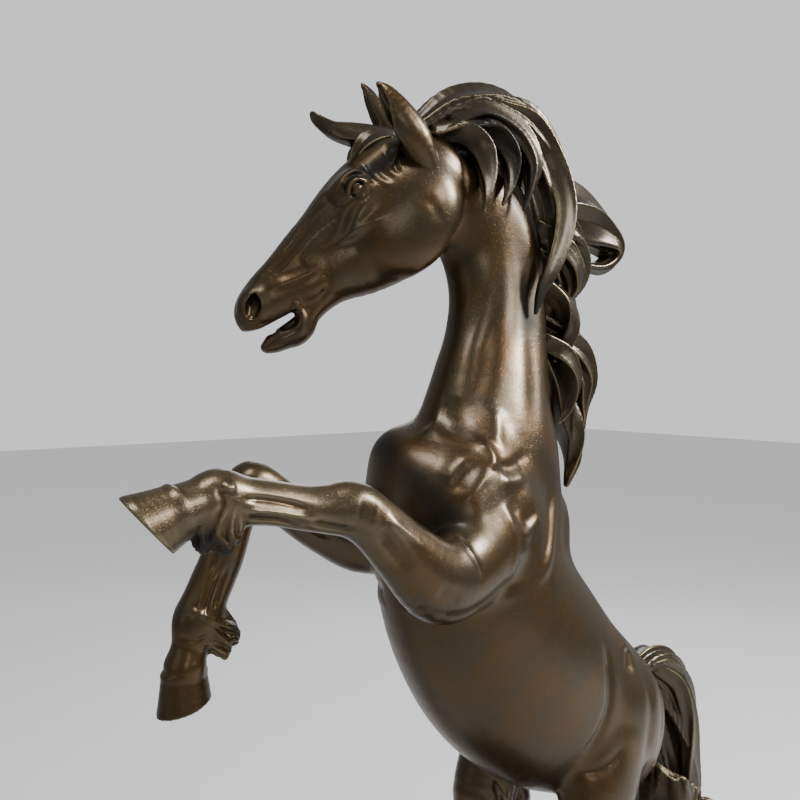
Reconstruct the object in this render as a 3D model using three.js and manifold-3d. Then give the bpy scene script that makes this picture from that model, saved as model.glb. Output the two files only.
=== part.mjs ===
// A rearing horse in bronze on a marble base, in millimetres. +Z is up, the horse faces -X, and its
// left side is towards -Y. The origin is the centre of the felt's underside, where the statue rests.
// The bronze is made the way a large lost-wax statue is: hollow castings for the torso and for the
// head and neck, solid castings for legs, ears, hair and tail, all cut to seat on their neighbours.
import * as THREE from 'three';
import { mergeVertices } from 'three/addons/utils/BufferGeometryUtils.js';
import Module from 'manifold-3d';

const wasm = await Module();
wasm.setup();

// ---- Driving dimensions ----
const BASE_LENGTH = 290;
const BASE_WIDTH = 196;
const BASE_HEIGHT = 38;
const BASE_STEP = 9; // how far the base's upper tier is set in
const BASE_STEP_HEIGHT = 13; // height of the lower tier
const BASE_EDGE = 2.5; // chamfer along the base's edges
const FELT_THICKNESS = 2;
const FELT_INSET = 4;

const HORSE_HEIGHT = 684; // hooves to ear tip
const SCULPT_HEIGHT = 684; // the height at which the sculpt's points below are stated
const GROUND_HEIGHT = 24; // the bronze ground under the hooves
const GROUND_LENGTH = 228;
const GROUND_WIDTH = 150;
const GROUND_WALL = 5;
const WALL = 5; // bronze wall of the hollow castings
const SEAM_GAP = 0.3; // between castings that seat on one another

const STUD_DIAMETER = 8;
const STUD_CLEARANCE = 1; // of the base's holes over the stud, on the diameter
const STUD_BOSS_DIAMETER = 18;
const STUD_ENGAGEMENT = 12; // how far a stud goes up into its boss
const STUD_THREAD_GAP = 0.05; // between a stud and what is screwed on it
const STUD_TAIL = 3; // how far a stud shows below its nut
const NUT_ACROSS_FLATS = 13;
const NUT_HEIGHT = 6.5;
const WASHER_DIAMETER = 20;
const WASHER_THICKNESS = 1.6;
const COUNTERBORE_CLEARANCE = 3; // of the counterbore over the washer, on the diameter
const COUNTERBORE_DEPTH = 16;
const STUD_PLACES = { front: [-66, 0], rear_left: [56, -34], rear_right: [56, 34] };

const SCALE = HORSE_HEIGHT / SCULPT_HEIGHT;
const BASE_TOP = FELT_THICKNESS + BASE_HEIGHT;
const GROUND_TOP = BASE_TOP + GROUND_HEIGHT;
const HUGE = 4 * (HORSE_HEIGHT + BASE_LENGTH + BASE_WIDTH);

// ---- Solids ----
function solidOf(geometry) {
  const plain = geometry.clone();
  plain.deleteAttribute('normal');
  plain.deleteAttribute('uv');
  const merged = mergeVertices(plain, 1e-4);
  const triVerts = new Uint32Array(merged.index.array);
  const vertProperties = new Float32Array(merged.attributes.position.array);
  const solid = new wasm.Manifold(new wasm.Mesh({ numProp: 3, vertProperties, triVerts }));
  if (solid.volume() >= 0) return solid;
  for (let i = 0; i < triVerts.length; i += 3) {
    [triVerts[i + 1], triVerts[i + 2]] = [triVerts[i + 2], triVerts[i + 1]];
  }
  return new wasm.Manifold(new wasm.Mesh({ numProp: 3, vertProperties, triVerts }));
}

function union(solids) {
  return solids.reduce((sum, solid) => sum.add(solid));
}

// The largest body of a solid, which drops the slivers that a cut leaves.
function mainBody(solid) {
  const bodies = solid.decompose();
  return bodies.reduce((a, b) => (b.volume() > a.volume() ? b : a));
}

function meshOf(name, solid, material) {
  const made = mainBody(solid).getMesh();
  const positions = new Float32Array(made.numVert * 3);
  for (let i = 0; i < made.numVert; i += 1) {
    positions.set(made.vertProperties.subarray(i * made.numProp, i * made.numProp + 3), i * 3);
  }
  const geometry = new THREE.BufferGeometry();
  geometry.setAttribute('position', new THREE.BufferAttribute(positions, 3));
  geometry.setIndex(new THREE.BufferAttribute(new Uint32Array(made.triVerts), 1));
  geometry.computeVertexNormals();
  const mesh = new THREE.Mesh(geometry, material);
  mesh.name = name;
  return mesh;
}

// Everything on the side of a plane that its normal points to.
function halfSpace(point, normal) {
  const box = new THREE.BoxGeometry(HUGE, HUGE, HUGE).translate(0, 0, HUGE / 2);
  const up = new THREE.Vector3(0, 0, 1);
  const turn = new THREE.Quaternion().setFromUnitVectors(up, normal.clone().normalize());
  box.applyQuaternion(turn).translate(point.x, point.y, point.z);
  return solidOf(box);
}

function cylinder(radius, bottom, height, [x, y], sides = 24) {
  const geometry = new THREE.CylinderGeometry(radius, radius, height, sides);
  return geometry.rotateX(Math.PI / 2).translate(x, y, bottom + height / 2);
}

// ---- The sculpt's frame: its points are in millimetres above the ground at SCULPT_HEIGHT ----
function placed(x, y, z) {
  return new THREE.Vector3(x * SCALE, y * SCALE, GROUND_TOP + z * SCALE);
}

// A closed skin over elliptical sections. A station is [x, y, z, half depth, half width, yaw]: the
// width lies along the horizontal direction that yaw turns away from Y, and the depth is square to it
// and to the path. grow moves the skin out, or in where it is negative.
function loft(stations, { grow = 0, sides = 14, rings = 3 * stations.length, from = 0, to = 1 } = {}) {
  const path = new THREE.CatmullRomCurve3(stations.map(([x, y, z]) => placed(x, y, z)));
  const sizes = new THREE.CatmullRomCurve3(
    stations.map(([, , , depth, width, yaw = 0]) => new THREE.Vector3(depth * SCALE, width * SCALE, yaw)),
  );
  const points = [];
  const add = (p) => points.push(p.x, p.y, p.z);
  for (let i = 0; i <= rings; i += 1) {
    const t = from + ((to - from) * i) / rings;
    const size = sizes.getPoint(t);
    const tangent = path.getTangent(t);
    const yaw = THREE.MathUtils.degToRad(size.z);
    const across = new THREE.Vector3(Math.sin(yaw), Math.cos(yaw), 0);
    across.addScaledVector(tangent, -across.dot(tangent)).normalize();
    const out = new THREE.Vector3().crossVectors(across, tangent);
    const centre = path.getPoint(t);
    const overhang = i === 0 ? -grow : i === rings ? grow : 0;
    centre.addScaledVector(tangent, overhang);
    if (i === 0) add(centre);
    for (let j = 0; j < sides; j += 1) {
      const angle = (2 * Math.PI * j) / sides;
      const depth = Math.max(0.6, size.x + grow) * Math.cos(angle);
      const width = Math.max(0.6, size.y + grow) * Math.sin(angle);
      add(centre.clone().addScaledVector(out, depth).addScaledVector(across, width));
    }
    if (i === rings) add(centre);
  }
  const index = [];
  const vertex = (ring, j) => 1 + ring * sides + (j % sides);
  const last = 1 + (rings + 1) * sides;
  for (let j = 0; j < sides; j += 1) {
    index.push(0, vertex(0, j + 1), vertex(0, j));
    index.push(last, vertex(rings, j), vertex(rings, j + 1));
    for (let i = 0; i < rings; i += 1) {
      index.push(vertex(i, j), vertex(i, j + 1), vertex(i + 1, j));
      index.push(vertex(i, j + 1), vertex(i + 1, j + 1), vertex(i + 1, j));
    }
  }
  const geometry = new THREE.BufferGeometry();
  geometry.setAttribute('position', new THREE.Float32BufferAttribute(points, 3));
  geometry.setIndex(index);
  return solidOf(geometry);
}

// A muscle: an ellipsoid at a point, its halves along its own length, width and height, turned
// nose-down by pitch and sideways by yaw, both in degrees.
function muscle([x, y, z], [length, width, height], { pitch = 0, yaw = 0, grow = 0 } = {}) {
  const ball = new THREE.SphereGeometry(1, 14, 9);
  ball.scale(length * SCALE + grow, width * SCALE + grow, height * SCALE + grow);
  ball.rotateY(THREE.MathUtils.degToRad(-pitch)).rotateZ(THREE.MathUtils.degToRad(-yaw));
  const at = placed(x, y, z);
  return solidOf(ball.translate(at.x, at.y, at.z));
}

// ---- The horse's body ----
const TRUNK = [
  [-138, 0, 424, 28, 28],
  [-121, 0, 406, 51, 46],
  [-100, 0, 377, 63, 53],
  [-81, 0, 335, 71, 58],
  [-53, 0, 296, 75, 61],
  [-18, 0, 263, 71, 59],
  [20, 0, 242, 61, 55],
  [50, 0, 231, 45, 45],
  [70, 0, 225, 20, 26],
];
const NECK = [
  [-72, 0, 396, 58, 40],
  [-78, 0, 436, 57, 36, 2],
  [-70, 3, 473, 48, 30, 6],
  [-61, 7, 507, 41, 26, 10],
  [-56, 11, 542, 37, 24, 14],
  [-61, 14, 577, 37, 23, 18],
  [-84, 17, 608, 33, 22, 22],
  [-112, 20, 620, 22, 19, 25],
];
const NECK_SEAM = { at: [-64, 0, 436], normal: [0.05, 0, 1] };
const SHOULDER_MUSCLES = [
  { at: [-92, -34, 404], halves: [26, 20, 56], pitch: 14 }, // along the shoulder blade
  { at: [-126, -36, 404], halves: [22, 20, 42], pitch: -12 }, // point of the shoulder
  { at: [-124, -38, 376], halves: [30, 18, 24], pitch: 0 }, // upper arm
  { at: [-112, -30, 432], halves: [24, 20, 40], pitch: -20 }, // breast
];
const HAUNCH_MUSCLES = [
  { at: [20, -32, 240], halves: [44, 25, 42], pitch: 40 },
  { at: [40, -27, 218], halves: [30, 22, 38], pitch: 20 },
];
const WITHERS = { at: [-30, 0, 362], halves: [24, 24, 50], pitch: -22 };

// ---- The head, in its own frame: along the face, and up from it ----
const HEAD_POLL = [-126, 22, 637];
const HEAD_PITCH = 46.4;
const HEAD_YAW = 25;
const SKULL = [
  [-6, -16, 22, 17],
  [12, -18, 34, 23],
  [33, -20, 39, 25],
  [54, -19, 39, 24],
  [75, -16, 33, 20],
  [96, -9.5, 25.5, 17],
  [117, -7.5, 21, 15],
  [134, -4, 16.5, 15],
  [147, -3, 13, 12.5],
  [154, -5, 8, 8],
];
const LOWER_JAW = [
  [70, -34, 14, 16],
  [98, -28, 9, 12],
  [120, -27, 7, 10],
  [138, -29, 7, 10],
  [152, -25, 7, 9],
  [159, -23, 4, 6],
];
const CHEEK = { along: 43, across: 12, up: -27, halves: [31, 14, 30] };

// The point of the sculpt at a place on the head: along the face, across to the left, up from it.
function onHead(along, across, up) {
  const pitch = THREE.MathUtils.degToRad(HEAD_PITCH);
  const yaw = THREE.MathUtils.degToRad(HEAD_YAW);
  const forward = along * Math.cos(pitch) + up * Math.sin(pitch);
  const rise = up * Math.cos(pitch) - along * Math.sin(pitch);
  const x = HEAD_POLL[0] - forward * Math.cos(yaw) - across * Math.sin(yaw);
  const y = HEAD_POLL[1] + forward * Math.sin(yaw) - across * Math.cos(yaw);
  return [x, y, HEAD_POLL[2] + rise];
}

function headStations(profile) {
  return profile.map(([along, up, depth, width]) => [...onHead(along, 0, up), depth, width, HEAD_YAW]);
}

function headSkin(grow) {
  const cheeks = [-1, 1].map((side) =>
    muscle(onHead(CHEEK.along, side * CHEEK.across, CHEEK.up), CHEEK.halves, { yaw: HEAD_YAW, grow }),
  );
  const skull = loft(headStations(SKULL), { grow, sides: 16, rings: 18 });
  return union([skull, loft(headStations(LOWER_JAW), { grow, sides: 10, rings: 9 }), ...cheeks]);
}

function bothSides(muscles, grow) {
  return muscles.flatMap(({ at: [x, y, z], halves, pitch }) =>
    [y, -y].map((side) => muscle([x, side, z], halves, { pitch, grow })),
  );
}

function bodySkin(grow) {
  return union([
    loft(TRUNK, { grow, sides: 20, rings: 20 }),
    loft(NECK, { grow, sides: 16, rings: 18 }),
    muscle(WITHERS.at, WITHERS.halves, { pitch: WITHERS.pitch, grow }),
    headSkin(grow),
    ...bothSides([...SHOULDER_MUSCLES, ...HAUNCH_MUSCLES], grow),
  ]);
}

// The hollow inside the torso, neck and head castings, one wall in from the skin.
function bodyCore() {
  return union([
    loft(TRUNK, { grow: -WALL, sides: 12, rings: 12, from: 0.06, to: 0.94 }),
    loft(NECK, { grow: -WALL, sides: 10, rings: 12, to: 0.97 }),
    loft(headStations(SKULL), { grow: -WALL, sides: 10, rings: 10, to: 0.75 }),
  ]);
}

// ---- Legs: x, y, z, half depth, half width along each, and the four corners of each hoof ----
const LEGS = {
  left_foreleg: {
    stations: [
      [-108, -40, 390, 24, 18],
      [-136, -47, 374, 26, 19],
      [-163, -53, 371, 24, 18],
      [-190, -56, 391, 17, 15],
      [-212, -55, 411, 14, 12.5],
      [-224, -53, 418, 14, 13],
      [-238, -51, 420, 12.5, 11],
      [-262, -48, 425, 11.5, 9.5],
      [-284, -45, 428, 12, 9.5],
      [-297, -44, 429, 14, 11.5],
      [-306, -44, 427, 12, 10],
      [-315, -44, 426, 11, 11],
    ],
    hoof: { y: -44, front: [-321, 438], back: [-308, 414], toe: [-345, 434], heel: [-321, 407] },
    feather: [[-299, -44, 424, 6, 7], [-302, -44, 412, 6, 8], [-298, -44, 400, 1.5, 3]],
  },
  right_foreleg: {
    stations: [
      [-112, 38, 384, 24, 18],
      [-142, 44, 378, 22, 17],
      [-174, 48, 390, 17, 14],
      [-204, 51, 408, 13, 12],
      [-225, 52, 421, 13, 12.5],
      [-237, 53, 404, 12, 11.5],
      [-247, 54, 378, 12, 10.5],
      [-259, 55, 354, 12.5, 10.5],
      [-264, 55, 341, 14, 12],
      [-268, 56, 328, 11.5, 10.5],
      [-269, 56, 315, 11, 11.5],
    ],
    hoof: { y: 56, front: [-282, 313], back: [-255, 315], toe: [-284, 287], heel: [-252, 295] },
    feather: [[-256, 56, 340, 6, 7], [-245, 56, 330, 6, 8], [-237, 56, 318, 1.5, 3]],
  },
  left_hind_leg: {
    stations: [
      [4, -36, 232, 36, 22],
      [-8, -42, 204, 31, 21],
      [-16, -43, 180, 24, 18],
      [-2, -43, 156, 18, 14],
      [16, -42, 132, 12, 11],
      [23, -42, 116, 13, 11],
      [20, -41, 98, 10, 9],
      [13, -41, 68, 8, 8],
      [7, -40, 44, 9, 8.5],
      [4, -40, 37, 11, 10],
      [-1, -40, 27, 9, 9],
      [-4, -40, 19, 10, 11],
    ],
    hoof: { y: -40, front: [-15, 25], back: [10, 17], toe: [-26, 0], heel: [9, 0] },
    feather: [[8, -40, 38, 6, 7], [16, -40, 30, 6, 8], [20, -40, 18, 1.5, 3]],
  },
  right_hind_leg: {
    stations: [
      [-8, 38, 226, 34, 22],
      [-24, 44, 198, 30, 21],
      [-36, 45, 172, 23, 18],
      [-24, 45, 148, 18, 14],
      [-8, 44, 126, 12, 11],
      [-1, 43, 111, 13, 11],
      [-5, 42, 94, 10, 9],
      [-14, 41, 66, 8, 8],
      [-22, 40, 44, 9, 8.5],
      [-25, 40, 37, 11, 10],
      [-30, 40, 27, 9, 9],
      [-33, 40, 19, 10, 11],
    ],
    hoof: { y: 40, front: [-44, 25], back: [-19, 17], toe: [-55, 0], heel: [-20, 0] },
    feather: [[-21, 40, 38, 6, 7], [-13, 40, 30, 6, 8], [-9, 40, 18, 1.5, 3]],
  },
};
const CORONET_HALF_WIDTH = 11.5;
const SOLE_HALF_WIDTH = 14.5;
const HOOF_SIDES = 18;

// A hoof runs from the coronet's oval to the sole's, which needn't be parallel.
function hoof({ y, front, back, toe, heel }, grow) {
  const ovals = [
    { ends: [front, back], half: CORONET_HALF_WIDTH },
    { ends: [toe, heel], half: SOLE_HALF_WIDTH },
  ];
  const points = [];
  const add = (p) => points.push(p.x, p.y, p.z);
  const centres = ovals.map(({ ends: [a, b] }) => placed((a[0] + b[0]) / 2, y, (a[1] + b[1]) / 2));
  const axis = centres[1].clone().sub(centres[0]).normalize();
  ovals.forEach(({ ends: [a, b], half }, i) => {
    const centre = centres[i].addScaledVector(axis, i === 0 ? -grow : grow);
    const reach = placed(a[0], y, a[1]).sub(placed(b[0], y, b[1])).multiplyScalar(0.5);
    reach.setLength(reach.length() + grow);
    add(centre);
    for (let j = 0; j < HOOF_SIDES; j += 1) {
      const angle = (2 * Math.PI * j) / HOOF_SIDES;
      const p = centre.clone().addScaledVector(reach, Math.cos(angle));
      p.y += (half * SCALE + grow) * Math.sin(angle);
      add(p);
    }
  });
  const index = [];
  const sole = HOOF_SIDES + 1;
  for (let j = 1; j <= HOOF_SIDES; j += 1) {
    const next = (j % HOOF_SIDES) + 1;
    index.push(0, j, next, sole, sole + next, sole + j);
    index.push(j, sole + j, next, next, sole + j, sole + next);
  }
  const geometry = new THREE.BufferGeometry();
  geometry.setAttribute('position', new THREE.Float32BufferAttribute(points, 3));
  geometry.setIndex(index);
  return solidOf(geometry);
}

function leg({ stations, hoof: corners, feather }, grow) {
  return union([
    loft(stations, { grow, sides: 12, rings: 23 }),
    loft(feather, { grow, sides: 8, rings: 5 }),
    hoof(corners, grow),
  ]);
}

// ---- Ears: a leaf with a scoop taken out of its front ----
const EARS = {
  left_ear: [
    [-126, 2, 626, 6, 6, 30],
    [-137, 1, 637, 9, 7, 30],
    [-149, 3, 650, 9, 6, 30],
    [-157, 6, 661, 6, 4.5, 30],
    [-161, 8, 668, 1.5, 1.5, 30],
  ],
  right_ear: [
    [-124, 36, 638, 5, 6, 20],
    [-131, 41, 653, 7.5, 6.5, 20],
    [-137, 44, 664, 7, 5.5, 20],
    [-141, 46, 673, 5, 4, 20],
    [-145, 47, 680, 1.5, 1.5, 20],
  ],
};
const EAR_SCOOP = { share: 0.72, shift: [-5, 0, 2], from: 0.2, to: 0.9 };

function ear(stations, grow) {
  const { share, shift, from, to } = EAR_SCOOP;
  const scoop = stations.map(([x, y, z, depth, width, yaw]) => [
    x + shift[0],
    y + shift[1],
    z + shift[2],
    depth * share,
    width * share,
    yaw,
  ]);
  const leaf = loft(stations, { grow, sides: 12, rings: 10 });
  return leaf.subtract(loft(scoop, { grow: -grow, sides: 8, rings: 8, from, to }));
}

// ---- Hair: flattened, tapering locks ----
const LOCKS = {
  forelock_blown: [
    [-132, 34, 640, 5, 7, 30],
    [-146, 38, 643, 6.5, 8, 30],
    [-158, 42, 644, 6, 7, 30],
    [-170, 46, 646, 5, 5, 30],
    [-179, 50, 653, 1.5, 1.5, 30],
  ],
  forelock_fall: [
    [-130, 28, 638, 5, 8, 30],
    [-144, 31, 638, 7, 9, 30],
    [-155, 35, 630, 7, 8, 30],
    [-162, 37, 618, 2, 2.5, 30],
  ],
  mane_crest: [
    [-116, 20, 655, 7, 10, 25],
    [-88, 16, 669, 13, 17, 22],
    [-54, 11, 666, 17, 20, 16],
    [-31, 5, 641, 16, 19, 10],
    [-25, -4, 612, 10, 15, 6],
    [-28, -12, 588, 8, 10, 4],
    [-40, -17, 563, 5, 6, 2],
    [-49, -18, 542, 1.5, 1.5],
  ],
  mane_front_lock: [
    [-112, 6, 650, 4, 6, 25],
    [-94, -1, 648, 6, 7, 25],
    [-85, -6, 635, 6, 6, 25],
    [-86, -10, 618, 4, 4.5, 25],
    [-90, -12, 603, 1.3, 1.3, 25],
  ],
  mane_second_lock: [
    [-88, 2, 656, 5, 6, 20],
    [-70, -4, 648, 7, 7, 20],
    [-66, -9, 631, 5.5, 6, 20],
    [-75, -13, 608, 1.3, 1.3, 20],
  ],
  mane_flying_lock: [
    [-24, 8, 614, 11, 12],
    [-4, 9, 614, 14, 14],
    [22, 11, 608, 15, 15],
    [46, 11, 599, 13, 14],
    [62, 9, 587, 9, 11],
    [60, 7, 576, 6, 8],
    [44, 5, 570, 4.5, 6],
    [26, 4, 570, 1.5, 2],
  ],
  mane_curl_upper: [
    [-24, 4, 612, 9, 12],
    [-4, 4, 598, 11, 14],
    [11, 4, 580, 10, 14],
    [13, 4, 558, 8, 11],
    [7, 3, 538, 2, 3],
  ],
  mane_curl_middle: [
    [-26, 4, 572, 8, 10],
    [-8, 4, 556, 9, 13],
    [2, 4, 538, 8, 12],
    [1, 3, 521, 5, 8],
    [-7, 2, 508, 1.5, 2],
  ],
  mane_curl_lower: [
    [-20, 3, 534, 7, 9],
    [-3, 3, 518, 9, 12],
    [13, 3, 503, 10, 13],
    [20, 2, 485, 9, 12],
    [18, 1, 466, 6, 8],
    [22, 0, 448, 1.5, 2],
  ],
  mane_curl_last: [
    [-24, 2, 500, 6, 8],
    [-8, 2, 480, 7, 10],
    [0, 1, 460, 8, 11],
    [8, 0, 443, 7, 9],
    [9, 0, 426, 5, 6],
    [4, 0, 408, 1.5, 2],
  ],
  mane_right_upper: [
    [-98, 20, 650, 6, 9, 22],
    [-84, 34, 640, 8, 8, 22],
    [-78, 42, 618, 8, 6, 20],
    [-82, 44, 594, 6, 5, 18],
    [-90, 42, 572, 1.5, 1.5, 18],
  ],
  mane_right_middle: [
    [-56, 16, 640, 8, 8, 18],
    [-48, 32, 624, 10, 7, 16],
    [-46, 38, 598, 10, 6, 14],
    [-52, 38, 566, 7, 5, 12],
    [-64, 36, 540, 1.5, 1.5, 12],
  ],
  mane_right_lower: [
    [-34, 10, 594, 8, 8, 12],
    [-28, 26, 574, 10, 7, 12],
    [-30, 33, 544, 9, 6, 10],
    [-38, 33, 512, 7, 5, 8],
    [-50, 32, 486, 1.5, 1.5, 6],
  ],
  tail: [
    [74, 0, 250, 9, 9],
    [94, 0, 259, 10, 11],
    [116, 1, 249, 14, 15],
    [134, 4, 223, 19, 19],
    [146, 9, 188, 22, 21],
    [152, 14, 150, 22, 22],
    [150, 18, 112, 20, 20],
    [144, 20, 80, 13, 15],
    [150, 20, 52, 3, 4],
  ],
};
const lock = (stations) => (grow) => loft(stations, { grow, sides: 8, rings: 3 * stations.length - 3 });

// ---- The stump and the ground, hollow castings open below ----
const STUMP = [
  [82, -12, -16, 40, 38],
  [83, -12, 6, 37, 35],
  [86, -13, 40, 27, 27],
  [89, -15, 90, 23, 24],
  [94, -17, 132, 24, 24],
  [104, -19, 166, 27, 23],
  [110, -20, 186, 24, 20],
];
const STUMP_CUT = { at: [80, -20, 190], normal: [0.62, -0.1, 1] }; // the slanting break across its top
const STUMP_BRANCHES = [
  [[104, -26, 118, 13, 12], [118, -33, 132, 10, 10], [126, -37, 144, 9, 9]], // a sawn-off limb
  [[70, -20, 30, 14, 12], [50, -34, 10, 11, 10], [36, -42, 2, 7, 7]], // roots
  [[88, -32, 28, 14, 12], [92, -42, 9, 10, 10], [94, -47, 2, 6, 6]],
];
const GROUND_CENTRE = [8, 0];
const GROUND_SIDES = 28;
const GROUND_PROFILE = [[0, 1], [0.3, 0.985], [0.62, 0.93], [0.86, 0.84], [1, 0.72]]; // height, spread
const GROUND_RIPPLES = [[2, 0.035, 0.4], [3, 0.03, 1.9], [5, 0.022, 3.1], [9, 0.01, 0.7]]; // waves, share, phase

function stump(grow) {
  const trunk = loft(STUMP, { grow, sides: 16, rings: 16 });
  const branches = STUMP_BRANCHES.map((stations) => loft(stations, { grow, sides: 10, rings: 6 }));
  const { at, normal } = STUMP_CUT;
  const face = placed(...at).addScaledVector(new THREE.Vector3(...normal).normalize(), grow);
  return union([trunk, ...branches]).subtract(halfSpace(face, new THREE.Vector3(...normal)));
}

// The rocky mound: rippled ovals that shrink as they rise, moved in by inset for its hollow.
function mound(inset, bottom, top) {
  const points = [];
  const rings = GROUND_PROFILE.length;
  const [cx, cy] = GROUND_CENTRE;
  points.push(cx, cy, bottom);
  for (const [height, spread] of GROUND_PROFILE) {
    for (let j = 0; j < GROUND_SIDES; j += 1) {
      const angle = (2 * Math.PI * j) / GROUND_SIDES;
      const ripple = GROUND_RIPPLES.reduce((r, [n, share, phase]) => r + share * Math.cos(n * angle + phase), 1);
      const x = ((GROUND_LENGTH / 2) * ripple * spread - inset) * Math.cos(angle);
      const y = ((GROUND_WIDTH / 2) * ripple * spread - inset) * Math.sin(angle);
      points.push(cx + x, cy + y, THREE.MathUtils.lerp(bottom, top, height));
    }
  }
  points.push(cx, cy, top);
  const index = [];
  const vertex = (ring, j) => 1 + ring * GROUND_SIDES + (j % GROUND_SIDES);
  for (let j = 0; j < GROUND_SIDES; j += 1) {
    index.push(0, vertex(0, j + 1), vertex(0, j));
    index.push(1 + rings * GROUND_SIDES, vertex(rings - 1, j), vertex(rings - 1, j + 1));
    for (let i = 0; i + 1 < rings; i += 1) {
      index.push(vertex(i, j), vertex(i, j + 1), vertex(i + 1, j));
      index.push(vertex(i, j + 1), vertex(i + 1, j + 1), vertex(i + 1, j));
    }
  }
  const geometry = new THREE.BufferGeometry();
  geometry.setAttribute('position', new THREE.Float32BufferAttribute(points, 3));
  geometry.setIndex(index);
  return solidOf(geometry);
}

function ground() {
  const top = GROUND_TOP - SEAM_GAP;
  const outside = mound(0, BASE_TOP, top);
  const inside = mound(GROUND_WALL, BASE_TOP - GROUND_WALL, top - GROUND_WALL);
  const bossHeight = GROUND_HEIGHT - GROUND_WALL;
  const bosses = Object.values(STUD_PLACES).map((place) =>
    solidOf(cylinder(STUD_BOSS_DIAMETER / 2, BASE_TOP, bossHeight, place)),
  );
  const holes = Object.values(STUD_PLACES).map((place) =>
    solidOf(cylinder(STUD_DIAMETER / 2 + STUD_THREAD_GAP, BASE_TOP - 1, STUD_ENGAGEMENT + 2, place)),
  );
  return union([outside.subtract(inside), ...bosses]).subtract(union(holes));
}

// ---- The marble base and what holds the bronze down on it ----
function slab(length, width, bottom, height) {
  const [x, y] = [length / 2 - BASE_EDGE, width / 2 - BASE_EDGE];
  const outline = new THREE.Shape([
    new THREE.Vector2(-x, -y),
    new THREE.Vector2(x, -y),
    new THREE.Vector2(x, y),
    new THREE.Vector2(-x, y),
  ]);
  const geometry = new THREE.ExtrudeGeometry(outline, {
    depth: height - 2 * BASE_EDGE,
    bevelThickness: BASE_EDGE,
    bevelSize: BASE_EDGE,
    bevelSegments: 1,
  });
  return solidOf(geometry.translate(0, 0, bottom + BASE_EDGE));
}

function marbleBase() {
  const lower = slab(BASE_LENGTH, BASE_WIDTH, FELT_THICKNESS, BASE_HEIGHT - BASE_STEP_HEIGHT);
  const upper = slab(BASE_LENGTH - 2 * BASE_STEP, BASE_WIDTH - 2 * BASE_STEP, FELT_THICKNESS, BASE_HEIGHT);
  const boltRadius = (STUD_DIAMETER + STUD_CLEARANCE) / 2;
  const boreRadius = (WASHER_DIAMETER + COUNTERBORE_CLEARANCE) / 2;
  const holes = Object.values(STUD_PLACES).flatMap((place) => [
    solidOf(cylinder(boltRadius, 0, BASE_TOP + 1, place)),
    solidOf(cylinder(boreRadius, 0, FELT_THICKNESS + COUNTERBORE_DEPTH, place)),
  ]);
  return lower.add(upper).subtract(union(holes));
}

function felt() {
  const [x, y] = [BASE_LENGTH / 2 - FELT_INSET, BASE_WIDTH / 2 - FELT_INSET];
  const sheet = new THREE.BoxGeometry(2 * x, 2 * y, FELT_THICKNESS);
  return solidOf(sheet.translate(0, 0, FELT_THICKNESS / 2));
}

const WASHER_TOP = FELT_THICKNESS + COUNTERBORE_DEPTH;
const NUT_TOP = WASHER_TOP - WASHER_THICKNESS;

function stud(place) {
  const bottom = NUT_TOP - NUT_HEIGHT - STUD_TAIL;
  return solidOf(cylinder(STUD_DIAMETER / 2, bottom, BASE_TOP + STUD_ENGAGEMENT - bottom, place));
}

function ringOf(outer, bottom, height, place) {
  const hole = solidOf(cylinder(STUD_DIAMETER / 2 + STUD_THREAD_GAP, bottom - 1, height + 2, place));
  return outer.subtract(hole);
}

function washer(place) {
  const disc = solidOf(cylinder(WASHER_DIAMETER / 2, NUT_TOP, WASHER_THICKNESS, place));
  return ringOf(disc, NUT_TOP, WASHER_THICKNESS, place);
}

function nut(place) {
  const acrossCorners = NUT_ACROSS_FLATS / Math.cos(Math.PI / 6);
  const hexagon = solidOf(cylinder(acrossCorners / 2, NUT_TOP - NUT_HEIGHT, NUT_HEIGHT, place, 6));
  return ringOf(hexagon, NUT_TOP - NUT_HEIGHT, NUT_HEIGHT, place);
}

// ---- Assembly ----
const bronze = new THREE.MeshStandardMaterial({ color: 0x4f3d2b, metalness: 0.9, roughness: 0.36 });
const hairBronze = new THREE.MeshStandardMaterial({ color: 0x3c3124, metalness: 0.9, roughness: 0.4 });
const barkBronze = new THREE.MeshStandardMaterial({ color: 0x2f281f, metalness: 0.85, roughness: 0.5 });
const marble = new THREE.MeshStandardMaterial({ color: 0x15161a, metalness: 0, roughness: 0.12 });
const feltCloth = new THREE.MeshStandardMaterial({ color: 0x1d3326, metalness: 0, roughness: 1 });
const steel = new THREE.MeshStandardMaterial({ color: 0x9a9c9e, metalness: 1, roughness: 0.35 });

const statue = new THREE.Group();

// The torso and the head come from one hollow body, sawn apart at the neck seam.
const hollowBody = bodySkin(0).subtract(bodyCore());
const seamNormal = new THREE.Vector3(...NECK_SEAM.normal).normalize();
const seamPoint = placed(...NECK_SEAM.at);
const seamAbove = seamPoint.clone().addScaledVector(seamNormal, SEAM_GAP);
const torso = hollowBody.subtract(halfSpace(seamPoint, seamNormal));
const headAndNeck = hollowBody.intersect(halfSpace(seamAbove, seamNormal));
statue.add(meshOf('torso_casting', torso, bronze));
statue.add(meshOf('head_and_neck_casting', headAndNeck, bronze));

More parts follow.
